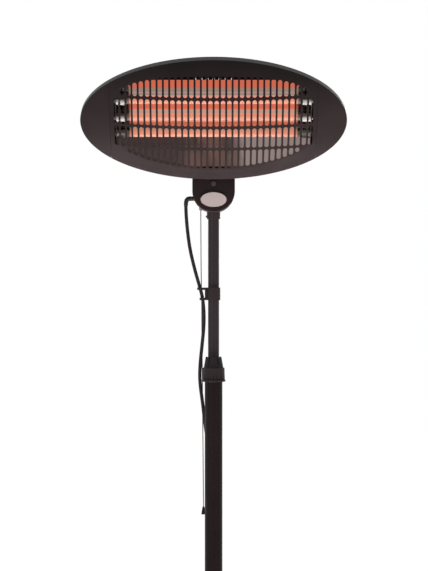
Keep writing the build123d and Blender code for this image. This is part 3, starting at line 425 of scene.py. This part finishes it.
BLACK_COAT = Finish(
    "satin_black_coat", Grain.POWDER, (0.0100, 0.0067, 0.0069), (0.0068, 0.0047, 0.0048),
    roughness=0.36, specular=0.07,
)
FRONT_COAT = PunchedCoat(
    "front_black_coat", BLACK_COAT.grain, BLACK_COAT.color, BLACK_COAT.shade,
    roughness=BLACK_COAT.roughness, specular=BLACK_COAT.specular,
)
TUBE_COAT = Finish(
    "upper_mast_black_coat", Grain.POWDER, (0.0165, 0.0098, 0.0116), (0.0115, 0.0070, 0.0082),
    roughness=0.34, specular=0.18,
)
# The upper mast's black coat made darker: painted shade, where the lower mast gets less light.
SHADED_LOWER_COAT = Finish(
    "lower_mast_shaded_coat", Grain.POWDER, (0.0092, 0.0052, 0.0058), (0.0064, 0.0038, 0.0042),
    roughness=0.40, specular=0.07,
)
BOX_PLASTIC = Finish(
    "box_black_plastic", Grain.MOULDED, (0.0105, 0.0056, 0.0062), (0.0075, 0.0042, 0.0046),
    roughness=0.42, specular=0.10,
)
TRIM_PLASTIC = Finish(
    "trim_black_plastic", Grain.MOULDED, (0.0160, 0.0106, 0.0116), (0.0118, 0.0080, 0.0088),
    roughness=0.5, specular=0.15,
)
BLACK_RUBBER = Finish(
    "black_rubber", Grain.RUBBER, (0.016, 0.013, 0.013), (0.011, 0.009, 0.009),
    roughness=0.7, specular=0.15,
)
IRON = Finish(
    "cast_iron", Grain.CAST, (0.11, 0.11, 0.11), (0.05, 0.05, 0.05),
    roughness=0.7, metallic=0.6,
)
ZINC = Finish(
    "zinc_plate", Grain.TURNED, (0.60, 0.60, 0.58), (0.46, 0.46, 0.44),
    roughness=0.35, metallic=1.0,
)
DARK_SCREW = Finish(
    "blackened_screw", Grain.TURNED, (0.040, 0.032, 0.032), (0.028, 0.023, 0.023),
    roughness=0.5, metallic=0.3, specular=0.2,
)
BARE_PLATE = Finish(
    "bare_brushed_plate", Grain.BRUSHED, (0.37, 0.30, 0.29), (0.31, 0.255, 0.245),
    roughness=0.42, metallic=0.35,
)
# White ceramic set to a dim grey: painted shade of the caps' place inside the head.
WHITE_CERAMIC = Finish(
    "white_ceramic", Grain.CERAMIC, (0.24, 0.22, 0.21), (0.17, 0.155, 0.145),
    roughness=0.6, specular=0.05,
)
BRASS = Finish(
    "plug_brass", Grain.TURNED, (0.72, 0.58, 0.30), (0.60, 0.47, 0.24),
    roughness=0.3, metallic=1.0,
)
SHEET_STEEL = Finish(
    "bracket_steel", Grain.BRUSHED, (0.13, 0.115, 0.11), (0.09, 0.08, 0.077),
    roughness=0.45, metallic=0.9,
)


@dataclass(frozen=True)
class TubeGlow:
    """Quartz tubes: a pale glow with a redder lower edge, and clear ends given a faint painted
    glow.
    """

    name: str = "glowing_quartz"
    pale: Color = srgb(226, 142, 110)
    rose: Color = srgb(220, 130, 108)
    red: Color = srgb(204, 96, 70)
    # A faint painted glow on the tubes' cold glass ends, which give no light.
    painted_end_glow: Color = (0.05, 0.045, 0.04)
    glass: Color = (0.10, 0.08, 0.07)
    roughness: float = 0.25
    specular: float = 0.15
    patch_scale: float = 40.0
    red_edge: Span = (-0.0062, -0.0048)
    soft_end: float = 0.003
    ripple_pitch: float = 0.0036
    ripple_depth: float = 0.05
    clear_alpha: float = 0.45
    lit_alpha: float = 0.80

    def material(self, centre: float) -> bpy.types.Material:
        """Builds the glow of one tube.

        Args:
            centre: The tube's height up the head's face.

        Returns:
            The material.
        """
        shader = Shader(self.name)
        x, up = shader.on_face()
        lit = x.size().ease(LIT_HALF_LENGTH + self.soft_end, LIT_HALF_LENGTH - self.soft_end)
        ripple = (x * (FULL_TURN / self.ripple_pitch)).wave()
        bright = lit * (ripple * self.ripple_depth + (1 - self.ripple_depth))
        warm = shader.blend(shader.noise(self.patch_scale), self.pale, self.rose)
        glow = shader.blend((up - centre).ease(*self.red_edge), self.red, warm)
        shader.set(
            Base_Color=self.glass, Roughness=self.roughness, Specular_IOR_Level=self.specular,
            Alpha=lit * (self.lit_alpha - self.clear_alpha) + self.clear_alpha,
            Emission_Color=shader.blend(bright, self.painted_end_glow, glow), Emission_Strength=1.0,
        )
        return shader.material


@dataclass(frozen=True)
class MirrorBands:
    """The folded reflector: metal with painted bands of the tubes' light and reflections."""

    name: str = "lit_reflector"
    # Painted light and reflections of the glowing tubes, as bands of emission up the face.
    painted_glow_bands: tuple[tuple[float, Color], ...] = (
        (-0.0470, srgb(150, 100, 90)),
        (-0.0295, srgb(184, 134, 114)),
        (-0.0205, srgb(194, 102, 78)),
        (-0.0090, srgb(222, 146, 120)),
        (0.0065, srgb(190, 150, 134)),
        (0.0160, srgb(212, 106, 80)),
        (0.0320, srgb(222, 146, 130)),
        (0.0440, srgb(152, 130, 120)),
        (0.0645, srgb(206, 104, 80)),
    )
    face_span: Span = (-0.120, 0.090)
    waver_scale: float = 30.0
    waver: float = 0.003
    soft_end: float = 0.004
    # Painted shade and light on the reflector's lower part, with a painted reddish glow of the
    # tubes in the middle.
    painted_shade: Color = srgb(60, 50, 48)
    painted_light: Color = srgb(140, 125, 121)
    painted_red_glow: Color = srgb(98, 74, 68)
    lower_edge: Span = (-0.0350, -0.0370)
    painted_light_edge: Span = (0.015, 0.070)
    painted_light_waver_scale: float = 24.0
    painted_light_waver: float = 0.05
    painted_red_glow_scale: float = 26.0
    painted_red_glow_stretch: Point = (1.0, 0.35, 0.35)
    painted_red_glow_edge: Span = (0.46, 0.66)
    painted_red_glow_reach: Span = (0.075, 0.035)
    # Bare metal beyond the glowing length; dark metal where light and shade are painted on, so that
    # the paint shows.
    bright: Color = (0.20, 0.17, 0.16)
    metal_under_painted_glow: Color = (0.015, 0.012, 0.011)
    streaks: Relief = Relief(120.0, 2.0, 0.00002, (1.0, 30.0, 30.0))
    roughness: Span = (0.08, 0.16)

    def material(self) -> bpy.types.Material:
        """Builds the reflector's material.

        Returns:
            The material.
        """
        shader = Shader(self.name)
        x, up = shader.on_face()
        up = up + shader.noise(self.waver_scale) * self.waver - self.waver / 2
        low, high = self.face_span
        stops = [((edge - low) / (high - low), color) for edge, color in self.painted_glow_bands]
        ramp = shader.node("ShaderNodeValToRGB", {"stops": stops}, {0: (up - low) / (high - low)})
        lit = x.size().ease(LIT_HALF_LENGTH + self.soft_end, LIT_HALF_LENGTH - self.soft_end)
        under = up.ease(*self.lower_edge)
        painted_bands = shader.blend(lit, BLACK, ramp.outputs[0])
        streak = shader.grain(self.streaks)
        smooth, rough = self.roughness
        # The tubes' light and reflections, and the shade below them, are painted on as emission.
        shader.set(
            Base_Color=shader.blend(lit.larger(under), self.bright, self.metal_under_painted_glow), Metallic=1.0,
            Roughness=streak * (rough - smooth) + smooth, Emission_Strength=1.0,
            Emission_Color=shader.blend(under, painted_bands, self._painted_lower_light(shader, x)),
            Normal=shader.bump(streak, self.streaks.depth),
        )
        return shader.material

    def _painted_lower_light(self, shader: Shader, x: Term) -> bpy.types.NodeSocket:
        """Painted shade on the left, painted light on the right, and a painted reddish glow in the
        middle.

        Args:
            shader: The reflector's material under construction.
            x: Distance to the right of the head's middle.

        Returns:
            The colour.
        """
        shift = shader.noise(self.painted_light_waver_scale) * self.painted_light_waver - self.painted_light_waver / 2
        side = (x + shift).ease(*self.painted_light_edge)
        blur = shader.noise(self.painted_red_glow_scale, 3.0, self.painted_red_glow_stretch)
        painted_red_glow = blur.ease(*self.painted_red_glow_edge) * x.size().ease(*self.painted_red_glow_reach)
        return shader.blend(painted_red_glow, shader.blend(side, self.painted_shade, self.painted_light), self.painted_red_glow)


@dataclass(frozen=True)
class HotWire:
    """The heating coils' wire."""

    name: str = "hot_wire"
    hot: Color = srgb(255, 176, 132)
    cooler: Color = srgb(236, 140, 104)
    oxide: Color = (0.12, 0.06, 0.04)
    roughness: float = 0.6
    patch_scale: float = 90.0

    def material(self) -> bpy.types.Material:
        """Builds the wire's material.

        Returns:
            The material.
        """
        shader = Shader(self.name)
        glow = shader.blend(shader.noise(self.patch_scale), self.hot, self.cooler)
        shader.set(
            Base_Color=self.oxide, Roughness=self.roughness,
            Emission_Color=glow, Emission_Strength=1.0,
        )
        return shader.material


@dataclass(frozen=True)
class CordSheath:
    """A cable's sheath or a braided cord, patterned along its own length."""

    name: str
    color: Color
    shade: Color
    roughness: float
    ridges: float
    slant: float
    ridge_depth: float = 0.00004
    patch_scale: float = 25.0
    patch_roughness: float = 0.08
    specular: float = 0.15

    def material(self) -> bpy.types.Material:
        """Builds the sheath's material from the piece's UV map, whose u runs along it in metres.

        Returns:
            The material.
        """
        shader = Shader(self.name)
        along, around, _ = shader.axes(shader.node("ShaderNodeUVMap").outputs[0])
        turns = along * (FULL_TURN * self.ridges) + around * (FULL_TURN * self.slant)
        weave = turns.wave() * 0.5 + 0.5
        patches = shader.noise(self.patch_scale)
        shader.set(
            Base_Color=shader.blend(weave * 0.5 + patches * 0.5, self.shade, self.color),
            Roughness=patches * self.patch_roughness + self.roughness,
            Specular_IOR_Level=self.specular,
            Normal=shader.bump(weave, self.ridge_depth),
        )
        return shader.material


CABLE_SHEATH = CordSheath(
    "cable_sheath", (0.013, 0.0095, 0.0100), (0.009, 0.0068, 0.0072),
    roughness=0.5, ridges=90.0, slant=2.0,
)
CORD_BRAID = CordSheath(
    "cord_braid", (0.075, 0.066, 0.064), (0.03, 0.026, 0.025),
    roughness=0.7, ridges=420.0, slant=3.0,
)


# ------------------------------------------------------------------ helpers on pieces
def dress(material: bpy.types.Material, *names: str) -> None:
    """Puts a material on CAD nodes.

    Args:
        material: The material.
        names: The nodes' names.
    """
    for name in names:
        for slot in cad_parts[name].material_slots:
            slot.material = material
        log.info("%s has %s", name, material.name)


def add_object(name: str, data: bpy.types.ID) -> bpy.types.Object:
    """Adds an object to the scene.

    Args:
        name: Its name.
        data: Its mesh, curve, lamp or camera.

    Returns:
        The new object.
    """
    piece = bpy.data.objects.new(name, data)
    bpy.context.scene.collection.objects.link(piece)
    return piece


def made_mesh(piece: bpy.types.Object) -> bpy.types.Mesh:
    """The plain mesh that a curve or an object's modifiers make.

    Args:
        piece: The object.

    Returns:
        A new mesh.
    """
    bpy.context.view_layer.update()
    done = piece.evaluated_get(bpy.context.evaluated_depsgraph_get())
    return bpy.data.meshes.new_from_object(done)


def in_metres(points: tuple[Point, ...]) -> list[Vector]:
    """Points written in millimetres as vectors in metres."""
    return [Vector(point) / 1000 for point in points]


def line_through(points: list[Vector]) -> list[Vector]:
    """The smooth line of a cord whose control points these are.

    Args:
        points: The route's points.

    Returns:
        Close points along the NURBS line.
    """
    curve = bpy.data.curves.new("route", "CURVE")
    curve.dimensions = "3D"
    curve.resolution_u = ROUTE_STEPS
    spline = curve.splines.new("NURBS")
    spline.points.add(len(points) - 1)
    for target, point in zip(spline.points, points):
        target.co = (*point, 1.0)
    spline.order_u = 3
    spline.use_endpoint_u = True
    holder = add_object("route", curve)
    mesh = made_mesh(holder)
    line = [vertex.co.copy() for vertex in mesh.vertices]
    bpy.data.objects.remove(holder)
    bpy.data.curves.remove(curve)
    bpy.data.meshes.remove(mesh)
    return line


def tube_along(name: str, line: list[Vector], radii: list[float], sides: int) -> bpy.types.Object:
    """A closed tube along a line, with a UV map whose u is the length along it in metres.

    Args:
        name: The new piece's name.
        line: Points along its middle.
        radii: Its radius at each point.
        sides: Faces around it.

    Returns:
        The piece, linked to the scene.
    """
    mesh = bpy.data.meshes.new(name)
    shape = bmesh.new()
    uv = shape.loops.layers.uv.new("UVMap")
    rings: list[list[bmesh.types.BMVert]] = []
    lengths = [0.0]
    side = Vector((0.0, 1.0, 0.0))
    turns = [FULL_TURN * k / sides for k in range(sides)]
    for i, point in enumerate(line):
        ahead = (line[min(i + 1, len(line) - 1)] - line[max(i - 1, 0)]).normalized()
        side = (side - ahead * side.dot(ahead)).normalized()
        across = ahead.cross(side)
        if i:
            lengths.append(lengths[-1] + (point - line[i - 1]).length)
        spokes = [side * math.cos(turn) + across * math.sin(turn) for turn in turns]
        rings.append([shape.verts.new(point + spoke * radii[i]) for spoke in spokes])
    for i, (ring, following) in enumerate(zip(rings, rings[1:])):
        for k in range(sides):
            other = (k + 1) % sides
            face = shape.faces.new((ring[k], ring[other], following[other], following[k]))
            face.smooth = True
            corners = ((i, k), (i, k + 1), (i + 1, k + 1), (i + 1, k))
            for loop, (row, column) in zip(face.loops, corners):
                loop[uv].uv = (lengths[row], column / sides)
    shape.faces.new(list(reversed(rings[0])))
    shape.faces.new(rings[-1])
    shape.to_mesh(mesh)
    shape.free()
    return add_object(name, mesh)


# ------------------------------------------------------------------ surroundings
@dataclass(frozen=True)
class Lamp:
    """A soft lamp that looks at a point, out of the camera's sight."""

    name: str
    place: Point
    target: Point
    power: float
    size: Span = (1.6, 1.6)
    spread: float = 180.0
    in_gloss: bool = True

    def build(self) -> None:
        """Adds the lamp."""
        data = bpy.data.lights.new(self.name, "AREA")
        data.shape = "RECTANGLE"
        data.size, data.size_y = self.size
        data.energy = self.power
        data.spread = math.radians(self.spread)
        lamp = add_object(self.name, data)
        lamp.location = self.place
        lamp.visible_camera = False
        lamp.visible_glossy = self.in_gloss
        aim = Vector(self.target) - Vector(self.place)
        lamp.rotation_euler = aim.to_track_quat("-Z", "Y").to_euler()


@dataclass
class Studio:
    """Camera, lamps, floor and the white surroundings."""

    camera_place: Point = (0.0008, -3.0, 1.44)
    pixels_per_slope: float = 1515.0
    long_side: float = 571.0
    sensor_width: float = 36.0
    lamps: tuple[Lamp, ...] = (
        Lamp("key", (-1.8, -2.6, 1.3), (0.0, 0.0, 1.5), 8.0),
        Lamp("fill", (2.0, -2.4, 1.0), (0.0, 0.0, 1.3), 5.0),
        Lamp("top", (-0.6, -1.4, 3.9), (0.0, 0.2, 0.0), 16.0),
        Lamp("back", (0.3, 3.2, 2.2), (0.0, 0.0, 0.7), 50.0),
        Lamp("low", (0.0, -0.35, 0.05), (0.0, -0.2, 1.7), 86.0, (2.8, 1.0), 60.0, in_gloss=False),
    )
    ambient: float = 0.26
    floor_half_side: float = 12.0
    floor_tones: tuple[Color, Color] = ((0.78, 0.78, 0.77), (0.82, 0.82, 0.81))
    floor_patch_scale: float = 3.0
    floor_roughness: float = 0.8
    floor_lifts: Span = (0.52, 0.82)
    lift_reach: Span = (0.9, 3.2)

    def build(self) -> None:
        """Builds everything round the heater."""
        self._camera()
        for lamp in self.lamps:
            lamp.build()
        self._world()
        self._floor()

    def _camera(self) -> None:
        """Adds the level camera that the photograph was taken with."""
        data = bpy.data.cameras.new("camera")
        data.sensor_width = self.sensor_width
        data.lens = self.pixels_per_slope / self.long_side * self.sensor_width
        camera = add_object("camera", data)
        camera.location = self.camera_place
        camera.rotation_euler = (math.pi / 2, 0.0, 0.0)
        bpy.context.scene.camera = camera

    def _world(self) -> None:
        """Makes the surroundings white for what looks at them and dimmer as a light."""
        world = bpy.data.worlds.new("surroundings")
        bpy.context.scene.world = world
        world.use_nodes = True
        graph = Graph(world.node_tree)
        strength = graph.looked_at() * (1 - self.ambient) + self.ambient
        light = graph.node("ShaderNodeBackground", None, {"Color": WHITE, "Strength": strength})
        graph.node("ShaderNodeOutputWorld", None, {"Surface": light.outputs[0]})

    def _floor(self) -> None:
        """Adds the plain pale floor, lifted towards white where it is looked at."""
        mesh = bpy.data.meshes.new("floor")
        half = self.floor_half_side
        corners = [(-half, -half, 0), (half, -half, 0), (half, half, 0), (-half, half, 0)]
        mesh.from_pydata(corners, [], [(0, 1, 2, 3)])
        floor = add_object("floor", mesh)
        shader = Shader("pale_floor")
        seen = shader.looked_at()
        x, y, _ = shader.axes()
        near, far = (reach * reach for reach in self.lift_reach)
        here, there = ((lift, lift, lift) for lift in self.floor_lifts)
        lifted = shader.blend((x * x + y * y).ease(near, far), here, there)
        shader.set(
            Base_Color=shader.blend(shader.noise(self.floor_patch_scale), *self.floor_tones),
            Roughness=self.floor_roughness, Specular_IOR_Level=0.0,
            Emission_Color=shader.blend(seen, BLACK, lifted), Emission_Strength=1.0,
        )
        mesh.materials.append(shader.material)


# ------------------------------------------------------------------ sub-assemblies
@dataclass
class Head:
    """The oval head: painted shells, reflector, tubes and their hot wire."""

    turns: int = 84
    steps_per_turn: int = 12
    coil_radius: float = 0.0040
    coil_length: float = 0.322
    wire_radius: float = 0.00055
    wire_sides: int = 5
    shells: tuple[str, ...] = (
        "left_end_cap", "right_end_cap", "rear_shell", "head_bracket", "shell_screws",
    )
    brackets: tuple[str, ...] = ("left_tube_bracket", "right_tube_bracket")

    def build(self) -> None:
        """Dresses the head and winds its three heating coils."""
        dress(BLACK_COAT.material(), *self.shells)
        dress(ZINC.material(), "bracket_screws")
        dress(SHEET_STEEL.material(), *self.brackets)
        dress(FRONT_COAT.material(), "front_panel")
        dress(WHITE_CERAMIC.material(), "ceramic_caps")
        dress(MirrorBands().material(), "reflector")
        wire = HotWire().material()
        for name, up in TUBE_HEIGHTS.items():
            dress(TubeGlow().material(up), f"quartz_tube_{name}")
            self._wind(name, up, wire)

    def _wind(self, name: str, up: float, wire: bpy.types.Material) -> None:
        """Winds one heating coil with Geometry Nodes and puts it in its tube.

        Args:
            name: Which tube.
            up: The tube's height up the face.
            wire: The wire's material.
        """
        tree = self._coil_tree(wire)
        seed = add_object("coil_seed", bpy.data.meshes.new("coil_seed"))
        modifier = seed.modifiers.new("coil", "NODES")
        modifier.node_group = tree
        sizes = {"Turns": float(self.turns), "Radius": self.coil_radius, "Length": self.coil_length,
                 "Wire Radius": self.wire_radius}
        for item in tree.interface.items_tree:
            if item.item_type == "SOCKET" and item.in_out == "INPUT" and item.name in sizes:
                modifier[item.identifier] = sizes[item.name]
        wound = made_mesh(seed)
        seed.modifiers.remove(modifier)
        bpy.data.objects.remove(seed)
        middle = head_point(0.0, up, -TUBE_SETBACK)
        for vertex in wound.vertices:
            x, y, z = vertex.co
            vertex.co = (z - self.coil_length / 2, middle.y + y, middle.z + x)
        wound.flip_normals()
        coil = add_object(f"hot_coil_{name}", wound)
        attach(coil, "head")
        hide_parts(f"heating_coil_{name}")
        log.info("hot_coil_%s has %d faces", name, len(wound.polygons))

    def _coil_tree(self, wire: bpy.types.Material) -> bpy.types.GeometryNodeTree:
        """Builds the tree that winds a wire into a coil along Z.

        Args:
            wire: The material that the tree sets.

        Returns:
            The node tree with inputs Turns, Radius, Length and Wire Radius.
        """
        tree = bpy.data.node_groups.new("wound_coil", "GeometryNodeTree")
        tree.interface.new_socket("Geometry", in_out="OUTPUT", socket_type="NodeSocketGeometry")
        for label in ("Turns", "Radius", "Length", "Wire Radius"):
            tree.interface.new_socket(label, in_out="INPUT", socket_type="NodeSocketFloat")
        graph = Graph(tree)
        sizes = graph.node("NodeGroupInput").outputs
        spiral = graph.node("GeometryNodeCurveSpiral", None, {
            "Resolution": self.steps_per_turn, "Rotations": sizes["Turns"],
            "Start Radius": sizes["Radius"], "End Radius": sizes["Radius"],
            "Height": sizes["Length"],
        })
        ring = graph.node("GeometryNodeCurvePrimitiveCircle", None, {
            "Resolution": self.wire_sides, "Radius": sizes["Wire Radius"],
        })
        tube = graph.node("GeometryNodeCurveToMesh", None, {
            "Curve": spiral.outputs["Curve"], "Profile Curve": ring.outputs["Curve"],
            "Fill Caps": True,
        })
        real = graph.node("GeometryNodeRealizeInstances", None, {"Geometry": tube.outputs["Mesh"]})
        paint = graph.node("GeometryNodeSetMaterial", None, {
            "Geometry": real.outputs["Geometry"], "Material": wire,
        })
        graph.node("NodeGroupOutput", None, {"Geometry": paint.outputs["Geometry"]})
        return tree


@dataclass
class SwitchBox:
    """The box under the head with what it holds, and the tilt joint above it."""

    covers: tuple[str, ...] = ("box_rear_shell", "box_front_cover")
    trims: tuple[str, ...] = (
        "cable_gland", "pull_switch", "switch_lever", "terminal_block", "tip_switch", "tilt_knob",
    )
    steel: tuple[str, ...] = ("tilt_block_screws", "pivot_bolt")

    def build(self) -> None:
        """Dresses the box's nodes."""
        dress(BOX_PLASTIC.material(), *self.covers)
        dress(TRIM_PLASTIC.material(), *self.trims)
        dress(ZINC.material(), *self.steel)
        dress(DARK_SCREW.material(), "cover_screw")
        dress(BARE_PLATE.material(), "badge_plate")
        dress(BLACK_COAT.material(), "tilt_block")
        dress(WHITE_CERAMIC.material(), "cord_eyelet")


@dataclass
class Mast:
    """The two mast tubes, the collar between them and the clips."""

    upper: tuple[str, ...] = ("upper_mast_tube", "neck_sleeve", "neck_screw")
    lower: tuple[str, ...] = ("foot_mast_tube", "lower_mast_tube")
    moulded: tuple[str, ...] = (
        "collar_socket", "lock_collet", "lock_ring", "guide_bush", "mast_cable_clip",
        "lower_cable_clips",
    )
    steel: tuple[str, ...] = ("mast_coupler", "coupler_screws")

    def build(self) -> None:
        """Dresses the mast's nodes."""
        dress(TUBE_COAT.material(), *self.upper)
        dress(SHADED_LOWER_COAT.material(), *self.lower)
        dress(TRIM_PLASTIC.material(), *self.moulded)
        dress(ZINC.material(), *self.steel)


@dataclass
class Base:
    """The round weighted base."""

    coated: tuple[str, ...] = ("base_pan", "base_cover", "mast_foot")

    def build(self) -> None:
        """Dresses the base's nodes."""
        dress(BLACK_COAT.material(), *self.coated)
        dress(IRON.material(), "base_weight")
        dress(BLACK_RUBBER.material(), "rubber_feet")
        dress(ZINC.material(), "foot_bolts")


@dataclass
class PowerCable:
    """The cable from the gland to the plug, with the coil behind the base.

    The route down to the coil and the tail from it to the plug are in millimetres.
    """

    radius: float = 0.0035
    length: float = 2.906
    sides: int = 14
    coil_centre: Span = (0.010, 0.312)
    coil_radius: float = 0.042
    coil_pitch: float = 0.0075
    half_turns: int = 4
    points_per_half_turn: int = 6
    relief_length: float = 0.022
    relief_radii: Span = (0.0049, 0.0040)
    relief_sides: int = 16
    relief_grooves: int = 6
    relief_groove_depth: float = 0.0004
    route: tuple[Point, ...] = (
        (-45.0, 0, 1612), (-50.4, 0, 1612), (-53.9, 0, 1608.3), (-54.9, 0, 1601.5),
        (-54.8, 0, 1588), (-53.4, 0, 1566), (-50.8, 0, 1540), (-46.8, 0, 1512),
        (-41.4, -0.3, 1488), (-36.0, -0.7, 1467), (-30.6, -0.8, 1448), (-25.6, -0.6, 1431.5),
        (-21.2, 0.2, 1412), (-18.9, 1.2, 1386), (-19.2, 2.4, 1360), (-21.6, 4.0, 1334),
        (-24.4, 6.4, 1308), (-26.9, 8.8, 1282), (-27.7, 10.2, 1258), (-26.2, 10.4, 1238),
        (-23.2, 10.0, 1217), (-20.6, 11.0, 1196), (-18.4, 14.0, 1174), (-15.2, 17.8, 1151),
        (-11.2, 21.0, 1124), (-7.4, 23.6, 1090), (-4.6, 25.0, 1037.5), (-3.0, 25.6, 975),
        (-2.0, 25.6, 912.5), (-1.4, 25.2, 837.5), (-1.2, 24.9, 762.5), (-0.6, 24.8, 675),
        (0.2, 24.7, 575), (0.9, 24.9, 487.5), (1.1, 25.0, 400), (0.8, 24.7, 312.5),
        (0.6, 24.6, 231.25), (0.6, 24.8, 172.5), (0.7, 26.2, 132), (1.2, 30.4, 104),
        (1.6, 39.4, 83), (0.8, 55.6, 70), (-2.6, 82.0, 63.8), (-7.4, 120.0, 57.5),
        (-12.6, 160.0, 49.5), (-17.8, 198.0, 39.5), (-22.6, 230.0, 29.0), (-26.6, 250.5, 21.5),
        (-29.4, 263.0, 13.6), (-31.2, 273.0, 6.6), (-32.0, 286.0, 3.5), (-32.0, 312.0, 3.5),
    )
    tail: tuple[Point, ...] = (
        (52.0, 312, 11.0), (52.0, 300, 11.0), (54.8, 289, 11.4), (61.8, 280, 12.8),
        (72.0, 275, 15.6), (83.0, 274, 18.0), (98.0, 274, 18.0),
    )
    hidden_nodes: tuple[str, ...] = (
        "power_cable_upper", "power_cable_crossing", "power_cable_lower", "power_cable_coil",
        "power_cable_tail",
    )

    def build(self) -> None:
        """Builds the cable, its sleeve at the gland and its plug's finish."""
        dress(BLACK_RUBBER.material(), "power_plug")
        dress(BRASS.material(), "plug_pins")
        line = line_through(in_metres(self.route) + self._coil_points() + in_metres(self.tail))
        cable = tube_along("power_cable", line, [self.radius] * len(line), self.sides)
        cable.data.materials.append(CABLE_SHEATH.material())
        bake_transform(cable)
        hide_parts(*self.hidden_nodes)
        self._relief(line)
        log.info("power_cable has %d points", len(line))

    def _relief(self, line: list[Vector]) -> None:
        """Adds the tapered, grooved sleeve on the cable where it leaves the box.

        Args:
            line: The cable's line.
        """
        thick, thin = self.relief_radii
        run = 0.0
        along, radii = [line[0]], [thick]
        for before, after in zip(line, line[1:]):
            run += (after - before).length
            if run > self.relief_length:
                break
            share = run / self.relief_length
            groove = max(0.0, math.sin(FULL_TURN * self.relief_grooves * share))
            along.append(after)
            radii.append(thick + share * (thin - thick) - groove * self.relief_groove_depth)
        sleeve = tube_along("cable_relief", along, radii, self.relief_sides)
        sleeve.data.materials.append(BLACK_RUBBER.material())
        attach(sleeve, "mast_top")
        log.info("cable_relief has %d rings", len(along))

    def _coil_points(self) -> list[Vector]:
        """Control points of the coil's turns, spiralling in below and out above.

        Returns:
            The points in metres.
        """
        # The points stand outside the turns by this factor, so that the spline touches the turns.
        step = math.pi / self.points_per_half_turn
        reach = 1 / math.cos(step / 2)
        # Each half turn is smaller by half a pitch, so that neighbouring turns lie a pitch apart.
        shrink = self.coil_pitch / 2
        radii = [self.coil_radius - shrink * k for k in range(self.half_turns + 1)]
        radii += list(reversed(radii[:-1]))
        x = self.coil_centre[0] - self.coil_radius
        heading = 1
        points: list[Vector] = []
        for number, radius in enumerate(radii):
            centre = x + heading * radius
            # The line climbs to the upper layer during the innermost half turn.
            climbed = number - self.half_turns
            for k in range(self.points_per_half_turn):
                turn = (k + 0.5) * step
                rise = min(max(climbed + (k + 0.5) / self.points_per_half_turn, 0.0), 1.0)
                points.append(Vector((
                    centre - heading * math.cos(turn) * radius * reach,
                    self.coil_centre[1] + heading * math.sin(turn) * radius * reach,
                    self.radius + rise * self.coil_pitch,
                )))
            x += heading * 2 * radius
            heading = -heading
        return points


@dataclass
class PullCord:
    """The thin cord that hangs from the box. Its route is in millimetres."""

    radius: float = 0.0009
    length: float = 0.616
    sides: int = 8
    route: tuple[Point, ...] = (
        (-25.7, 15.0, 1615.3), (-25.5, 15.25, 1590), (-25.2, 15.9, 1530), (-24.9, 16.4, 1470),
        (-23.7, 16.9, 1416), (-23.3, 17.7, 1340), (-22.5, 18.4, 1270), (-22.0, 19.1, 1200),
        (-21.2, 19.7, 1130), (-20.7, 20.4, 1060), (-20.2, 21.0, 999),
    )

    def build(self) -> None:
        """Builds the cord and dresses its knob."""
        dress(TRIM_PLASTIC.material(), "pull_knob")
        line = line_through(in_metres(self.route))
        cord = tube_along("pull_cord", line, [self.radius] * len(line), self.sides)
        cord.data.materials.append(CORD_BRAID.material())
        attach(cord, "pull")
        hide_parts("pull_string")
        log.info("pull_cord has %d points", len(line))


def main() -> None:
    """Builds the surroundings, then the heater's looks in order."""
    logging.basicConfig(level=logging.INFO, format="%(message)s")
    bpy.context.scene.view_settings.view_transform = "Standard"
    for part in (Studio(), PowerCable(), PullCord(), Head(), SwitchBox(), Mast(), Base()):
        part.build()


if __name__ == "__main__":
    main()
